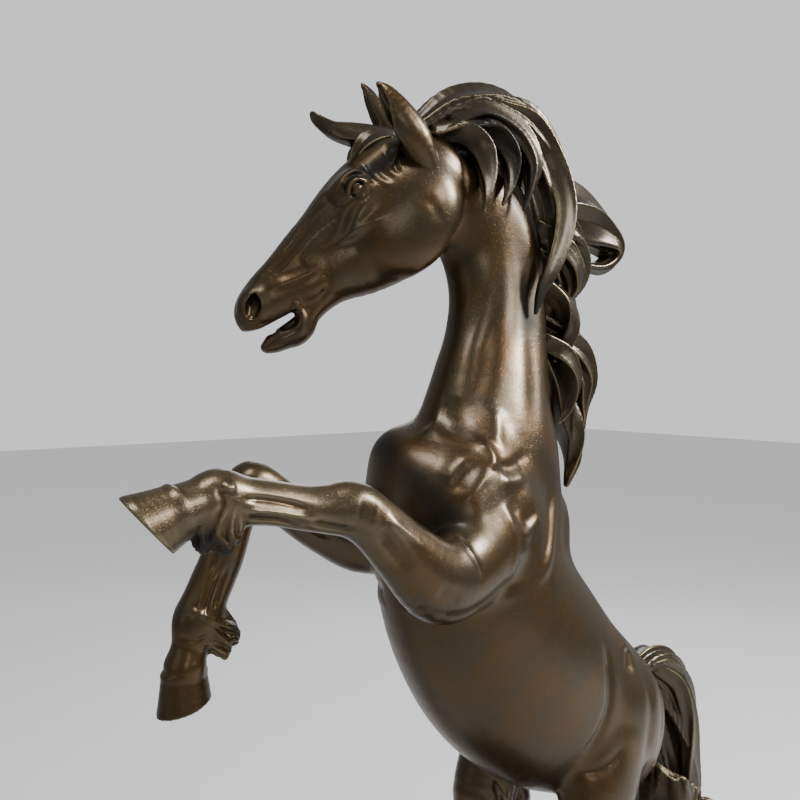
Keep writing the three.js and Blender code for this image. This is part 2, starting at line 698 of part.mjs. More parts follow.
// Each further casting is cut to seat on those before it, a seam gap clear of them.
const bronzeGround = ground();
let taken = bodySkin(SEAM_GAP).add(halfSpace(new THREE.Vector3(0, 0, GROUND_TOP), new THREE.Vector3(0, 0, -1)));
function seat(name, shape, material, core) {
  const whole = core ? shape(0).subtract(core) : shape(0);
  statue.add(meshOf(name, whole.subtract(taken), material));
  taken = taken.add(shape(SEAM_GAP));
}
for (const [name, parts] of Object.entries(LEGS)) {
  seat(`${name}_casting`, (grow) => leg(parts, grow), bronze);
}
for (const [name, stations] of Object.entries(EARS)) {
  seat(name, (grow) => ear(stations, grow), bronze);
}
seat('stump_casting', stump, barkBronze, loft(STUMP, { grow: -WALL, sides: 10, rings: 10, to: 0.86 }));
for (const [name, stations] of Object.entries(LOCKS)) {
  seat(name, lock(stations), hairBronze);
}
statue.add(meshOf('ground_casting', bronzeGround, barkBronze));
statue.add(meshOf('marble_base', marbleBase(), marble));
statue.add(meshOf('felt_sheet', felt(), feltCloth));
for (const [name, place] of Object.entries(STUD_PLACES)) {
  statue.add(meshOf(`stud_${name}`, stud(place), steel));
  statue.add(meshOf(`washer_${name}`, washer(place), steel));
  statue.add(meshOf(`nut_${name}`, nut(place), steel));
}

export default statue;
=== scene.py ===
# A rearing horse in bronze beside a tree stump, on rocky ground over a stepped black marble base.
# The bronze is modelled as distance fields: tapered elliptical lofts and muscles blended into one
# another, with veins, tendons, folds and hair drawn on them as ridges and grooves. Each casting is
# turned into a mesh and cut at its own seams. Shapes are stated in millimetres, x and y as in the CAD
# frame and z above the ground that the hooves stand on, and become metres as they are made.
import math

import bmesh
import bpy
import numpy as np
import openvdb
from mathutils import Matrix, Vector


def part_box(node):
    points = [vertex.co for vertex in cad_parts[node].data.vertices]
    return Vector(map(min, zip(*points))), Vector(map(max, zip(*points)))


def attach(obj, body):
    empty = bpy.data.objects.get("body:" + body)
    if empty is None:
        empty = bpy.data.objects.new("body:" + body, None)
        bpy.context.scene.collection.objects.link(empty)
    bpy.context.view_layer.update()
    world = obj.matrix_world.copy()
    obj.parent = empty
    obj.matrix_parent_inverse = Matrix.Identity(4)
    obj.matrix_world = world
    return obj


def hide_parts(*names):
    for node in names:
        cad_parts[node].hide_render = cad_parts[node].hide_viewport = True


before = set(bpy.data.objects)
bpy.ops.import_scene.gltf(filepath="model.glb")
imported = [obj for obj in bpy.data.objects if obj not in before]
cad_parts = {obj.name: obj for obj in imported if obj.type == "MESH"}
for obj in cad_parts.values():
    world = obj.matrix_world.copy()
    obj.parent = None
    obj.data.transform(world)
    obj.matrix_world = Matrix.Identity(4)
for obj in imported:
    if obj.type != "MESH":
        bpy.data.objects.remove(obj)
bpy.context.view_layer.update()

MM = 0.001
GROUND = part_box("left_hind_leg_casting")[0][2] / MM  # where the hooves stand
BASE_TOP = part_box("marble_base")[1][2] / MM
FAR = 30.0  # the field's value away from every shape
MARGIN = 7  # how far round a shape, past its blend, its own field is worked out

# ---- Steps of the lattices, in millimetres ----
TORSO_STEP = 1.2
NECK_STEP = 1.2
HEAD_STEP = 0.72
LEG_STEP = 0.9
HAIR_STEP = 0.7
TAIL_STEP = 0.9
STUMP_STEP = 1.1


# ======== Distance fields ========
CUBE = [(dx, dy, dz) for dx in (0, 1) for dy in (0, 1) for dz in (0, 1)]  # a cell's eight corners


def unit(v):
    v = np.asarray(v, float)
    return v / max(np.linalg.norm(v), 1e-9)


def reach_along(direction, x, y, z):
    """How far grids of x, y and z lie along a direction."""
    a, b, c = (float(k) for k in direction)
    return (x * a + y * b) + z * c


class Lattice:
    """A box of samples of the distance to the shapes drawn in it, negative inside them."""

    def __init__(self, low, high, step):
        self.low, self.step = np.floor(np.asarray(low, float) / step) * step, step
        self.size = np.ceil((np.asarray(high, float) - self.low) / step).astype(int) + 1
        self.axes = [
            (self.low[i] + step * np.arange(self.size[i])).astype(np.float32) for i in range(3)
        ]
        self.field = np.full(tuple(self.size), FAR, np.float32)

    def part(self, low, high):
        """The slices of the lattice that hold a box, or None."""
        slices = []
        for i in range(3):
            a = max(0, int((low[i] - self.low[i]) / self.step))
            b = min(self.size[i], int((high[i] - self.low[i]) / self.step) + 2)
            if a >= b:
                return None
            slices.append(slice(a, b))
        return tuple(slices)

    def coords(self, part):
        x, y, z = (self.axes[i][part[i]] for i in range(3))
        return x[:, None, None], y[None, :, None], z[None, None, :]

    def soften(self, distance, limit=9.0):
        """Rounds the surface off, over about a distance in millimetres."""
        field = np.clip(self.field, -limit, limit)
        for _ in range(max(1, round(2 * (distance / self.step) ** 2))):
            for axis in range(3):
                a = np.moveaxis(field, axis, 0)
                a[1:-1] = 0.25 * (a[:-2] + a[2:]) + 0.5 * a[1:-1]
        self.field = field

    def sample(self, points):
        """The field at points, between the samples."""
        g = (points - self.low) / self.step
        g = np.clip(g, 0, self.size - 1.001)
        i = g.astype(int)
        f = (g - i).astype(np.float32)
        total = 0
        for corner in CUBE:
            weight = 1
            for axis, d in enumerate(corner):
                weight = weight * (f[:, axis] if d else 1 - f[:, axis])
            total = total + weight * self.field[tuple((i + corner).T)]
        return total


def smooth_min(a, b, k):
    if k <= 0:
        return np.minimum(a, b)
    h = np.clip(0.5 + 0.5 * (b - a) / k, 0, 1)
    return b * (1 - h) + a * h - k * h * (1 - h)


def smooth_max(a, b, k):
    return -smooth_min(-a, -b, k)


def catmull(stations, per):
    """Stations resampled along a smooth curve through them, per samples to each interval."""
    s = np.asarray(stations, float)
    padded = np.vstack([2 * s[0] - s[1], s, 2 * s[-1] - s[-2]])
    out = []
    for i in range(len(s) - 1):
        a, b, c, d = padded[i : i + 4]
        for j in range(per):
            t = j / per
            bend = 2 * a - 5 * b + 4 * c - d
            out.append(0.5 * (2 * b + (c - a) * t + bend * t**2 + (3 * b - 3 * c + d - a) * t**3))
    out.append(s[-1])
    return np.array(out)


class Tube:
    """A tapered tube of elliptical sections along points: half depth, half width, and where width points.

    ridges run lengthways on it: each has its angle round the tube, how far it winds, its height as a
    share of the tube's smaller half, its breadth in radians, and how it wavers."""

    def __init__(self, points, depth, width, across, blend=6.0, ridges=()):
        self.p = np.asarray(points, float)
        self.depth = np.maximum(np.asarray(depth, float), 0.4)
        self.width = np.maximum(np.asarray(width, float), 0.4)
        self.across = np.asarray(across, float)
        self.blend, self.ridges = blend, ridges

    def draw(self, lat):
        margin = self.blend + MARGIN
        r = np.maximum(self.depth, self.width)[:, None] + margin
        part = lat.part((self.p - r).min(axis=0), (self.p + r).max(axis=0))
        if part is None:
            return None, None
        own = np.full(lat.field[part].shape, FAR, np.float32)
        for i in range(len(self.p) - 1):
            a, b = self.p[i], self.p[i + 1]
            r = max(self.depth[i : i + 2].max(), self.width[i : i + 2].max()) + margin
            where = lat.part(np.minimum(a, b) - r, np.maximum(a, b) + r)
            if where is None:
                continue
            where = tuple(slice(max(w.start, p.start), min(w.stop, p.stop)) for w, p in zip(where, part))
            if any(w.start >= w.stop for w in where):
                continue
            length = max(float(np.linalg.norm(b - a)), 1e-3)
            tangent = (b - a) / length
            across = self.across[i] + self.across[i + 1]
            across = unit(across - (across @ tangent) * tangent)
            out = np.cross(across, tangent)
            x, y, z = lat.coords(where)
            x, y, z = x - float(a[0]), y - float(a[1]), z - float(a[2])
            along, o, c = (reach_along(v, x, y, z) for v in (tangent, out, across))
            t = np.clip(along / length, 0, 1)
            e = along - t * length
            d0, d1, w0, w1 = (float(v) for v in (*self.depth[i : i + 2], *self.width[i : i + 2]))
            depth, width = d0 + (d1 - d0) * t, w0 + (w1 - w0) * t
            end = np.minimum(depth, width)
            o, c, e = o / depth, c / width, e / end
            oo, cc, ee = o * o, c * c, e * e
            k0 = np.sqrt(oo + cc + ee)
            k1 = np.sqrt(oo / (depth * depth) + cc / (width * width) + ee / (end * end))
            d = k0 * (k0 - 1) / np.maximum(k1, 1e-4)
            if len(self.ridges):
                near = np.nonzero(d < 0.75 * r)
                angle = np.arctan2(o[near], c[near])
                place = (i + t[near]) / (len(self.p) - 1)
                lift = np.zeros_like(angle)
                for start, wind, height, breadth, waver, phase in self.ridges:
                    gap = angle - (start + wind * place + waver * np.sin(6 * place + phase))
                    gap = np.abs(np.remainder(gap + math.pi, 2 * math.pi) - math.pi)
                    lift = np.maximum(lift, height * np.exp(-gap / breadth))
                d[near] -= end[near] * (lift - 0.1)
            local = tuple(slice(w.start - p.start, w.stop - p.start) for w, p in zip(where, part))
            own[local] = np.minimum(own[local], d)
        return part, own

    def add(self, lat):
        part, own = self.draw(lat)
        if part is not None:
            lat.field[part] = smooth_min(lat.field[part], own, self.blend)

    def cut(self, lat):
        part, own = self.draw(lat)
        if part is not None:
            lat.field[part] = -smooth_min(-lat.field[part], own, self.blend)


def loft(stations, blend=6.0, per=4, **kwargs):
    """A tube through stations x, y, z, half depth, half width and yaw, the way its width is turned."""
    s = catmull([tuple(s) + (0.0,) * (6 - len(s)) for s in stations], per)
    yaw = np.radians(s[:, 5])
    across = np.stack([np.sin(yaw), np.cos(yaw), 0 * yaw], axis=1)
    return Tube(s[:, :3], s[:, 3], s[:, 4], across, blend, **kwargs)


class Muscle:
    """An ellipsoid, its halves along its length, width and height, pitched up or with axes of its own."""

    def __init__(self, at, halves, pitch=0.0, blend=6.0, axes=None):
        self.at, self.halves, self.blend = np.asarray(at, float), np.asarray(halves, float), blend
        if axes is None:
            turn = Matrix.Rotation(-math.radians(pitch), 3, "Y")
            axes = [turn.col[i][:] for i in range(3)]
        self.axes = np.asarray(axes, float)

    def draw(self, lat):
        reach = float(self.halves.max()) + self.blend + MARGIN
        part = lat.part(self.at - reach, self.at + reach)
        if part is None:
            return None, None
        x, y, z = lat.coords(part)
        px, py, pz = (g - float(c) for g, c in zip((x, y, z), self.at))
        k0 = k1 = 0
        for axis, half in zip(self.axes, self.halves):
            half = float(half)
            q = reach_along(axis, px, py, pz) / half
            k0 = k0 + q * q
            k1 = k1 + q * q / (half * half)
        k0, k1 = np.sqrt(k0), np.sqrt(k1)
        return part, (k0 * (k0 - 1) / np.maximum(k1, 1e-4)).astype(np.float32)

    add = Tube.add
    cut = Tube.cut


class Stroke:
    """A ridge, or where height is negative a groove, along points seen from one side.

    The points are in a view's own u and w, and the stroke reaches through its depth v on the sides
    named: +1 for the horse's left, -1 for its right."""

    REACH = 2.6  # how many widths away it is still felt
    ENDS, TIP = 4.0, 0.12  # it fades over a quarter of its length, down to this share
    EDGE = 4.0  # millimetres of depth over which it comes in past near

    def __init__(self, view, points, width, height, sides=(1, -1), near=4.0):
        self.view, self.width, self.height = view, width, height
        self.sides, self.near = sides, near
        self.points = catmull([tuple(p) for p in points], 4) if len(points) > 2 else np.array(points, float)

    def add(self, lat):
        origin, u_axis, w_axis, v_axis = self.view.axes
        corners = []
        pad = self.REACH * self.width
        low, high = self.points.min(axis=0) - pad, self.points.max(axis=0) + pad
        for u in (low[0], high[0]):
            for w in (low[1], high[1]):
                for v in self.view.span:
                    corners.append(origin + u * u_axis + w * w_axis + v * v_axis)
        part = lat.part(np.min(corners, axis=0), np.max(corners, axis=0))
        if part is None:
            return
        x, y, z = lat.coords(part)
        px, py, pz = (g - float(c) for g, c in zip((x, y, z), origin))
        u, w, v = np.broadcast_arrays(*(reach_along(a, px, py, pz) for a in (u_axis, w_axis, v_axis)))
        best = np.full(np.broadcast(u, w).shape, 1e6, np.float32)
        place = np.zeros_like(best)
        n = len(self.points) - 1
        for i, (a, b) in enumerate(zip(self.points[:-1], self.points[1:])):
            along = b - a
            length2 = max(float(along @ along), 1e-6)
            t = np.clip(((u - a[0]) * along[0] + (w - a[1]) * along[1]) / length2, 0, 1)
            d2 = (u - a[0] - t * along[0]) ** 2 + (w - a[1] - t * along[1]) ** 2
            closer = d2 < best
            best = np.where(closer, d2, best)
            place = np.where(closer, (i + t) / n, place)
        mask = 0
        for side in self.sides:
            mask = mask + np.clip((side * v - self.near) / self.EDGE, 0, 1)
        fade = np.clip(np.minimum(place, 1 - place) * self.ENDS + self.TIP, 0, 1)
        lift = self.height * np.exp(-best / self.width**2) * mask * fade
        lat.field[part] -= lift.astype(np.float32)


class View:
    """Where strokes are drawn: an origin, the directions of u, w and v, and the reach along v."""

    def __init__(self, origin, u_axis, w_axis, v_axis, span):
        self.axes = [np.asarray(p, float) for p in (origin, u_axis, w_axis, v_axis)]
        self.span = span


def lattice_noise(x, y, z, scale, seed=0):
    """Smooth value noise from -1 to 1 at points, its cells scale wide."""
    p = np.stack([x, y, z], -1) / scale
    i = np.floor(p).astype(np.int64)
    f = p - i
    f = f * f * (3 - 2 * f)
    total = 0
    for dx, dy, dz in CUBE:
        # a whole-number hash of the corner, brought to -1 to 1
        h = (i[..., 0] + dx) * 374761393 + (i[..., 1] + dy) * 668265263
        h = h + (i[..., 2] + dz) * 2147483647 + seed * 974634777
        h = (h ^ (h >> 13)) * 1274126177
        h = ((h ^ (h >> 16)) & 0xFFFF) / 32767.5 - 1
        for axis, d in enumerate((dx, dy, dz)):
            h = h * (f[..., axis] if d else 1 - f[..., axis])
        total = total + h
    return total


# ======== The horse's shape ========
FLANK = View((0, 0, 0), (1, 0, 0), (0, 0, 1), (0, -1, 0), (-90, 90))

TRUNK = [
    (-138, 0, 424, 27, 27), (-121, 0, 406, 50, 45), (-100, 0, 377, 62, 52), (-81, 0, 335, 70, 57),
    (-53, 0, 296, 74, 60), (-18, 0, 263, 70, 58), (20, 0, 242, 60, 54), (50, 0, 231, 45, 44),
    (68, 0, 226, 22, 27),
]
NECK = [
    (-68, 0, 392, 54, 38), (-76, 0, 436, 56, 38, 2), (-70, 3, 473, 47, 31.5, 6), (-61, 7, 507, 40, 25.5, 10),
    (-56, 11, 542, 36.5, 23.5, 14), (-61, 14, 577, 36.5, 22.5, 18), (-84, 17, 608, 33, 22, 22),
    (-112, 20, 620, 22, 19, 25),
]

HEAD_POLL = np.array([-126.0, 22.0, 637.0])
HEAD_PITCH, HEAD_YAW = math.radians(46.4), math.radians(25)
DOWN, LEVEL = math.sin(HEAD_PITCH), math.cos(HEAD_PITCH)
TURNED, AHEAD = math.sin(HEAD_YAW), math.cos(HEAD_YAW)
HEAD_U = np.array([-LEVEL * AHEAD, LEVEL * TURNED, -DOWN])  # from the poll to the nose
HEAD_W = np.array([-DOWN * AHEAD, DOWN * TURNED, LEVEL])  # from the jaw to the forehead
HEAD_V = np.array([-TURNED, -AHEAD, 0.0])  # to the horse's left
FACE = View(HEAD_POLL, HEAD_U, HEAD_W, HEAD_V, (-40, 40))


def on_head(u, v, w):
    return HEAD_POLL + u * HEAD_U + v * HEAD_V + w * HEAD_W


def face_loft(stations, blend, per=4):
    """A loft along the face, its stations u, v, w, half depth and half width."""
    return loft([(*on_head(u, v, w), d, h, 25) for u, v, w, d, h in stations], blend, per)


def face_muscle(u, v, w, halves, blend, tilt=0.0):
    """An ellipsoid on the head, its halves along u, v and w, tipped in the face's side view."""
    c, s = math.cos(math.radians(tilt)), math.sin(math.radians(tilt))
    axes = [c * HEAD_U + s * HEAD_W, HEAD_V, c * HEAD_W - s * HEAD_U]
    return Muscle(on_head(u, v, w), halves, blend=blend, axes=axes)


def head_shapes():
    add = [
        face_loft([
            (-6, 0, -16, 22, 14), (12, 0, -18, 34, 18.5), (33, 0, -20, 39, 21), (54, 0, -19, 39, 20.5),
            (75, 0, -16, 34, 17), (96, 0, -9.5, 25.5, 14.5), (117, 0, -7.5, 20.5, 13.5),
            (134, 0, -4, 16.5, 13.5), (147, 0, -3.5, 13, 12), (153, 0, -5, 8, 8),
        ], 5),
        # the forehead, and the flat bridge of the nose
        face_loft([(18, 0, 4, 14, 17), (44, 0, 8, 12, 16), (70, 0, 8, 10, 11), (100, 0, 3, 10, 8.5),
                   (128, 0, 1, 10, 8.5), (146, 0, -1, 8, 8)], 4),
        # the lower jaw, its lip and its chin
        face_loft([(60, 0, -38, 18, 15), (80, 0, -33, 13, 13), (100, 0, -29, 9, 10), (120, 0, -27.5, 7, 9),
                   (138, 0, -29.5, 6.5, 9), (150, 0, -26, 6.5, 8.5), (158, 0, -23.5, 4, 6)], 4),
        face_muscle(136, 0, -33, (10, 7.5, 5.5), 4),
    ]
    for s in (1, -1):
        add += [
            face_muscle(50, s * 14.5, 8.5, (14, 8, 8), 5, 10),  # brow over the eye
            face_muscle(56, s * 16, -6, (20, 8, 5), 5, -14),  # cheekbone below it
            face_muscle(40, s * 11, -31, (33, 14, 30), 8.0, -14),  # the round of the cheek
            face_muscle(22, s * 10.5, -29, (22, 12.5, 24), 10),  # jaw's corner
            face_muscle(84, s * 9, -19, (20, 5, 10), 6, -20),
            face_muscle(108, s * 9.5, -17, (13, 5, 7.5), 3.5, 8),  # lips' corner muscle
            face_muscle(145, s * 8.5, 0, (11, 7, 10), 3.5, -20),  # nostril's wing
            face_muscle(151, s * 4.5, -7, (8.5, 7.5, 7.5), 3.5, -10),  # upper lip
            face_muscle(25, s * 13, 3, (7, 4, 4), 4),  # temple
            face_muscle(28, s * 14, -8, (7, 3.5, 5), 4),
        ]
    return add


def head_strokes():
    lines = [
        # points u and w, width, height
        ([(52, 17), (70, 17), (100, 12.5), (136, 11)], 1.8, 0.7),  # edge of the nose's bridge
        ([(58, 10), (80, 11), (104, 8.5), (132, 7.5)], 2.8, -1.0),  # groove beside it
        ([(62, 1.6), (75, 3.6), (88, 5), (104, 4.2), (122, 3)], 2.0, 0.6),  # line from the eye
        ([(64, -3), (78, -3.5), (96, -3)], 4.0, -0.6),
        ([(48, -19), (58, -16), (68, -13), (80, -10.5), (92, -8)], 2.8, 0.9),  # facial crest
        ([(62, -22), (74, -18), (84, -16)], 4.5, -0.5),
        ([(99, -12), (108, -10), (116, -7), (124, -3), (133, 0.5)], 2.6, 0.9),  # muscle to the nostril
        ([(104, -4), (112, -2), (124, 3)], 3.0, -0.7),
        ([(98, -16), (104, -23), (114, -26)], 2.6, -0.8),  # behind the lips
        ([(127, -15), (127.5, -20), (130, -27), (138, -32)], 2.2, 1.4),  # fold round the mouth's corner
        ([(146, -14), (154, -9), (160, -5)], 1.3, -0.6),
        ([(76, -50), (66, -57), (52, -60)], 2.0, 0.7),
        ([(17, 1), (22, -2), (24, -8)], 2.0, -0.9),  # hollows behind the brow
        ([(19, 9), (23, 3), (28, -1)], 1.7, 0.7),
        ([(29, 6), (31, -1), (29, -8)], 2.2, -0.6),
        ([(34, 3), (35, -4), (33, -10)], 2.0, 0.4),
        ([(35, 13), (38, 6), (39, -2)], 1.8, -0.9),
        ([(30, -24), (24, -34), (28, -48)], 3.5, -0.5),
    ]
    return [Stroke(FACE, *line) for line in lines]


EYE = (50.0, 20.2, 5.0)  # u, v and w of its centre
EYE_BALL = (4.5, 3.0, 3.7)


def eye_details():
    """Strokes for the lids' folds, drawn round the eye after its socket is cut."""
    u, _, w = EYE
    lid = [(u + 7.5, w - 0.6), (u + 4.5, w + 3.2), (u, w + 4.6), (u - 4.5, w + 3.4), (u - 7.5, w - 0.6)]
    under = [(u + 7.5, w - 0.8), (u + 3.5, w - 3.6), (u - 1, w - 4.6), (u - 5.5, w - 3.4), (u - 7.5, w - 0.8)]
    fold = [(u + 9.5, w + 2), (u + 5, w + 6.4), (u - 0.5, w + 7.8), (u - 6, w + 6.2), (u - 10.5, w + 0.5)]
    brow = [(u + 9, w + 7.5), (u + 2, w + 11), (u - 6, w + 10), (u - 13, w + 4)]
    bag = [(u + 6, w - 6.2), (u, w - 8), (u - 6, w - 7)]
    return [
        Stroke(FACE, lid, 1.4, 1.9, near=8),
        Stroke(FACE, under, 1.4, 0.5, near=8),
        Stroke(FACE, fold, 1.4, -1.9, near=8),
        Stroke(FACE, brow, 2.2, 0.9, near=8),
        Stroke(FACE, bag, 1.2, -0.5, near=8),
    ]


def body_muscles():
    rows = [
        # at, halves, pitch, blend, both sides
        ((-90, 32, 392), (24, 17, 46), 14, 16, True),  # along the shoulder blade
        ((-124, 35, 403), (21, 18, 38), -12, 14, True),  # point of the shoulder
        ((-108, 22, 424), (20, 17, 32), -20, 16, True),  # breast
        # the far point of the breast, drawn up with its leg
        ((-136, -17, 436), (18, 17, 18), -32, 16, False),
        ((-118, 39, 381), (27, 16, 25), 0, 8, True),  # upper arm
        ((-126, 43, 394), (9, 10, 26), 12, 6, True),  # triceps, its long head
        ((-90, 43, 408), (11, 7.5, 12), 20, 6, True),
        ((-84, 44, 378), (13, 7, 25), 24, 8, True),
        ((-30, 0, 362), (23, 23, 48), -22, 12, False),  # withers
        ((20, 31, 240), (43, 24, 41), 40, 12, True),  # haunch
        ((38, 26, 220), (29, 21, 37), 20, 12, True),
        ((16, 34, 290), (11, 11, 13), 20, 8, True),  # point of the hip
        ((-84, 30, 340), (22, 14, 22), 10, 14, True),  # behind the elbow
    ]
    shapes = []
    for (x, y, z), halves, pitch, blend, paired in rows:
        for side in ((1, -1) if paired else (1,)):
            shapes.append(Muscle((x, -side * y, z), halves, pitch, blend=blend))
    return shapes


def body_strokes():
    lines = [
        # points x and z, width, height, and a side where it isn't both
        ([(-145, 424), (-138, 434), (-127, 443)], 3.2, 0.9, (1,)),  # folds across the breast
        ([(-143, 418), (-134, 428), (-122, 437)], 3.0, -1.1, (1,)),
        ([(-141, 413), (-131, 422), (-119, 431)], 3.2, 0.7, (1,)),
        ([(-118, 450), (-114, 441), (-117, 431)], 4.5, 1.8),
        ([(-112, 433), (-103, 431), (-93, 432), (-76, 438)], 4.4, -1.7),  # over the shoulder
        ([(-112, 425), (-100, 424), (-86, 426)], 5.0, 1.1),
        ([(-114, 411), (-109, 396), (-107, 380), (-113, 364)], 3.8, 1.0),  # behind the triceps
        ([(-106, 412), (-102, 396), (-100, 380)], 4.8, -1.3),
        ([(-99, 388), (-88, 394), (-76, 402)], 3.6, 0.8),
        ([(-98, 397), (-90, 400), (-82, 403)], 4.0, -0.9),
        ([(-40, 416), (-50, 398), (-60, 384), (-74, 368), (-84, 358)], 4.4, 1.1),  # shoulder's back edge
        ([(-52, 414), (-62, 396), (-70, 384), (-80, 372)], 4.5, -1.3),
        ([(-186, 362), (-160, 353), (-139, 355), (-117, 361), (-98, 362)], 3.8, -1.4),
        ([(-168, 345), (-150, 343), (-137, 345), (-119, 351), (-98, 353)], 3.4, 0.6),
        ([(-16, 308), (-15, 290), (-17, 268), (-26, 248), (-36, 236)], 4.5, -1.9),  # flank fold
        ([(20, 296), (17, 288), (14, 280)], 5.0, -2.0),  # hollow under the hip
        ([(-40, 222), (-20, 226), (-4, 236)], 4.0, -1.0),
        ([(36, 282), (34, 262), (30, 240), (22, 214)], 6.0, -1.2),  # between the thigh's muscles
        ([(56, 268), (54, 246), (48, 222)], 4.0, -1.0),
    ]
    return [Stroke(FLANK, *line, near=8) for line in lines]


def neck_strokes():
    lines = [
        ([(-88, 600), (-80, 570), (-82, 530), (-96, 490), (-116, 462)], 6.0, -2.0),  # jugular groove
        ([(-62, 600), (-52, 560), (-50, 520), (-58, 480), (-70, 450)], 8.0, -1.4),
        ([(-96, 470), (-100, 456), (-108, 446)], 6.0, 1.4),
        ([(-100, 618), (-97, 600), (-97, 584)], 2.6, -1.5),  # crease behind the jaw
        ([(-93, 616), (-90, 600), (-90, 586)], 2.2, 0.9),
        ([(-128, 480), (-131, 462), (-138, 448)], 4.4, 1.1, (1,)),
        ([(-118, 476), (-121, 460), (-128, 448)], 4.6, -1.3, (1,)),
    ]
    return [Stroke(FLANK, *line, near=5) for line in lines]


# Legs: x, y, z, half depth and half width, then the hoof's corners in x and z.
LEGS = {
    "left_foreleg_casting": {
        "stations": [
            (-108, -40, 390, 24, 18), (-136, -46, 374, 25, 18), (-163, -52, 371, 23, 17),
            (-190, -55, 391, 17, 14.5), (-210, -55, 409, 14, 12), (-223, -53, 418, 14, 13),
            (-236, -51, 419.3, 12, 11), (-250, -49, 421, 10.6, 9.6), (-268, -47, 424.8, 10.2, 9.2),
            (-284, -45, 427, 11.2, 9.6), (-297, -44, 429, 14, 11.4), (-306, -44, 427.5, 11.8, 10),
            (-315, -44, 426, 11.2, 11), (-319, -44, 425, 11.6, 11.6),
        ],
        "hoof": {"y": -44, "front": (-321, 438), "back": (-308, 414), "toe": (-344, 431),
                 "heel": (-321, 406), "turn": 0.2},
        "feather": [
            [(-300, -44, 423, 6, 7), (-303, -43, 415, 5.5, 6), (-304, -42, 408, 3.4, 4),
             (-302, -42, 404, 1.2, 1.6)],
            [(-295, -44, 422, 6, 7), (-296, -45, 414, 5.5, 6), (-295, -46, 407, 3.6, 4),
             (-292, -47, 403, 1.3, 1.6)],
            [(-291, -44, 421, 4.5, 6), (-290, -45, 415, 4, 4.5), (-288, -46, 410, 2, 2.5),
             (-286, -46, 407, 0.9, 1.1)],
        ],
    },
    "right_foreleg_casting": {
        "stations": [
            (-112, 38, 384, 24, 18), (-142, 44, 378, 22, 17), (-174, 48, 390, 17, 14),
            (-204, 51, 408, 13, 12), (-225, 52, 421, 13, 12.5), (-237, 53, 404, 12, 11.5),
            (-245, 54, 378, 12, 10.5), (-256, 55, 354, 12.5, 10.5), (-261, 55, 341, 14.5, 12),
            (-265.5, 56, 328, 9.8, 9.4), (-268, 56, 319, 10.2, 10.8), (-269, 56, 315, 11.6, 11.8),
        ],
        "hoof": {"y": 56, "front": (-283, 313), "back": (-256, 315), "toe": (-285, 287), "heel": (-253, 295)},
        "feather": [
            [(-256, 55, 342, 7, 8), (-247, 54, 335, 6.5, 6.5), (-240, 53, 329, 4, 4.5),
             (-238, 53, 324, 1.4, 1.8)],
            [(-256, 56, 341, 6, 7), (-246, 57, 337, 5.5, 6), (-239, 58, 331, 3.4, 4),
             (-236, 58, 327, 1.2, 1.5)],
            [(-256, 54, 336, 6, 7), (-250, 52, 328, 5.5, 5.5), (-246, 51, 321, 3, 3.6),
             (-246, 50, 317, 1.2, 1.5)],
        ],
    },
    "left_hind_leg_casting": {
        "stations": [
            (4, -36, 232, 36, 22), (-8, -42, 204, 31, 21), (-16, -43, 180, 24, 18), (-2, -43, 156, 18, 14),
            (16, -42, 132, 12, 10.5), (23, -42, 117, 13, 10.5), (20, -41, 98, 10, 8.6),
            (13, -41, 68, 8.2, 7.6),
            (8, -40, 48, 9, 8.4), (4, -40, 37, 11.5, 10.2), (-1, -40, 27, 9, 8.6), (-4, -40, 19, 10.5, 10.5),
        ],
        "hoof": {"y": -40, "front": (-15, 25), "back": (10, 17), "toe": (-26, 0), "heel": (9, 0)},
        "feather": [
            [(8, -40, 38, 6, 7), (14, -42, 30, 5, 5), (19, -43, 20, 1.8, 2.5)],
            [(8, -40, 36, 6, 6), (13, -37, 26, 5, 5), (15, -35, 15, 1.5, 2)],
        ],
    },
    "right_hind_leg_casting": {
        "stations": [
            (-8, 38, 226, 34, 22), (-24, 44, 198, 30, 21), (-36, 45, 172, 23, 18), (-24, 45, 148, 18, 14),
            (-8, 44, 126, 12, 10.5), (-1, 43, 111, 13, 10.5), (-5, 42, 94, 10, 8.6), (-14, 41, 66, 8.2, 7.6),
            (-21, 40, 47, 9, 8.4), (-25, 40, 37, 11.5, 10.2), (-30, 40, 27, 9, 8.6),
            (-33, 40, 19, 10.5, 10.5),
        ],
        "hoof": {"y": 40, "front": (-44, 25), "back": (-19, 17), "toe": (-55, 0), "heel": (-20, 0)},
        "feather": [
            [(-21, 40, 38, 6, 7), (-15, 42, 30, 5, 5), (-10, 43, 20, 1.8, 2.5)],
            [(-21, 40, 36, 6, 6), (-16, 37, 26, 5, 5), (-14, 35, 15, 1.5, 2)],
        ],
    },
}


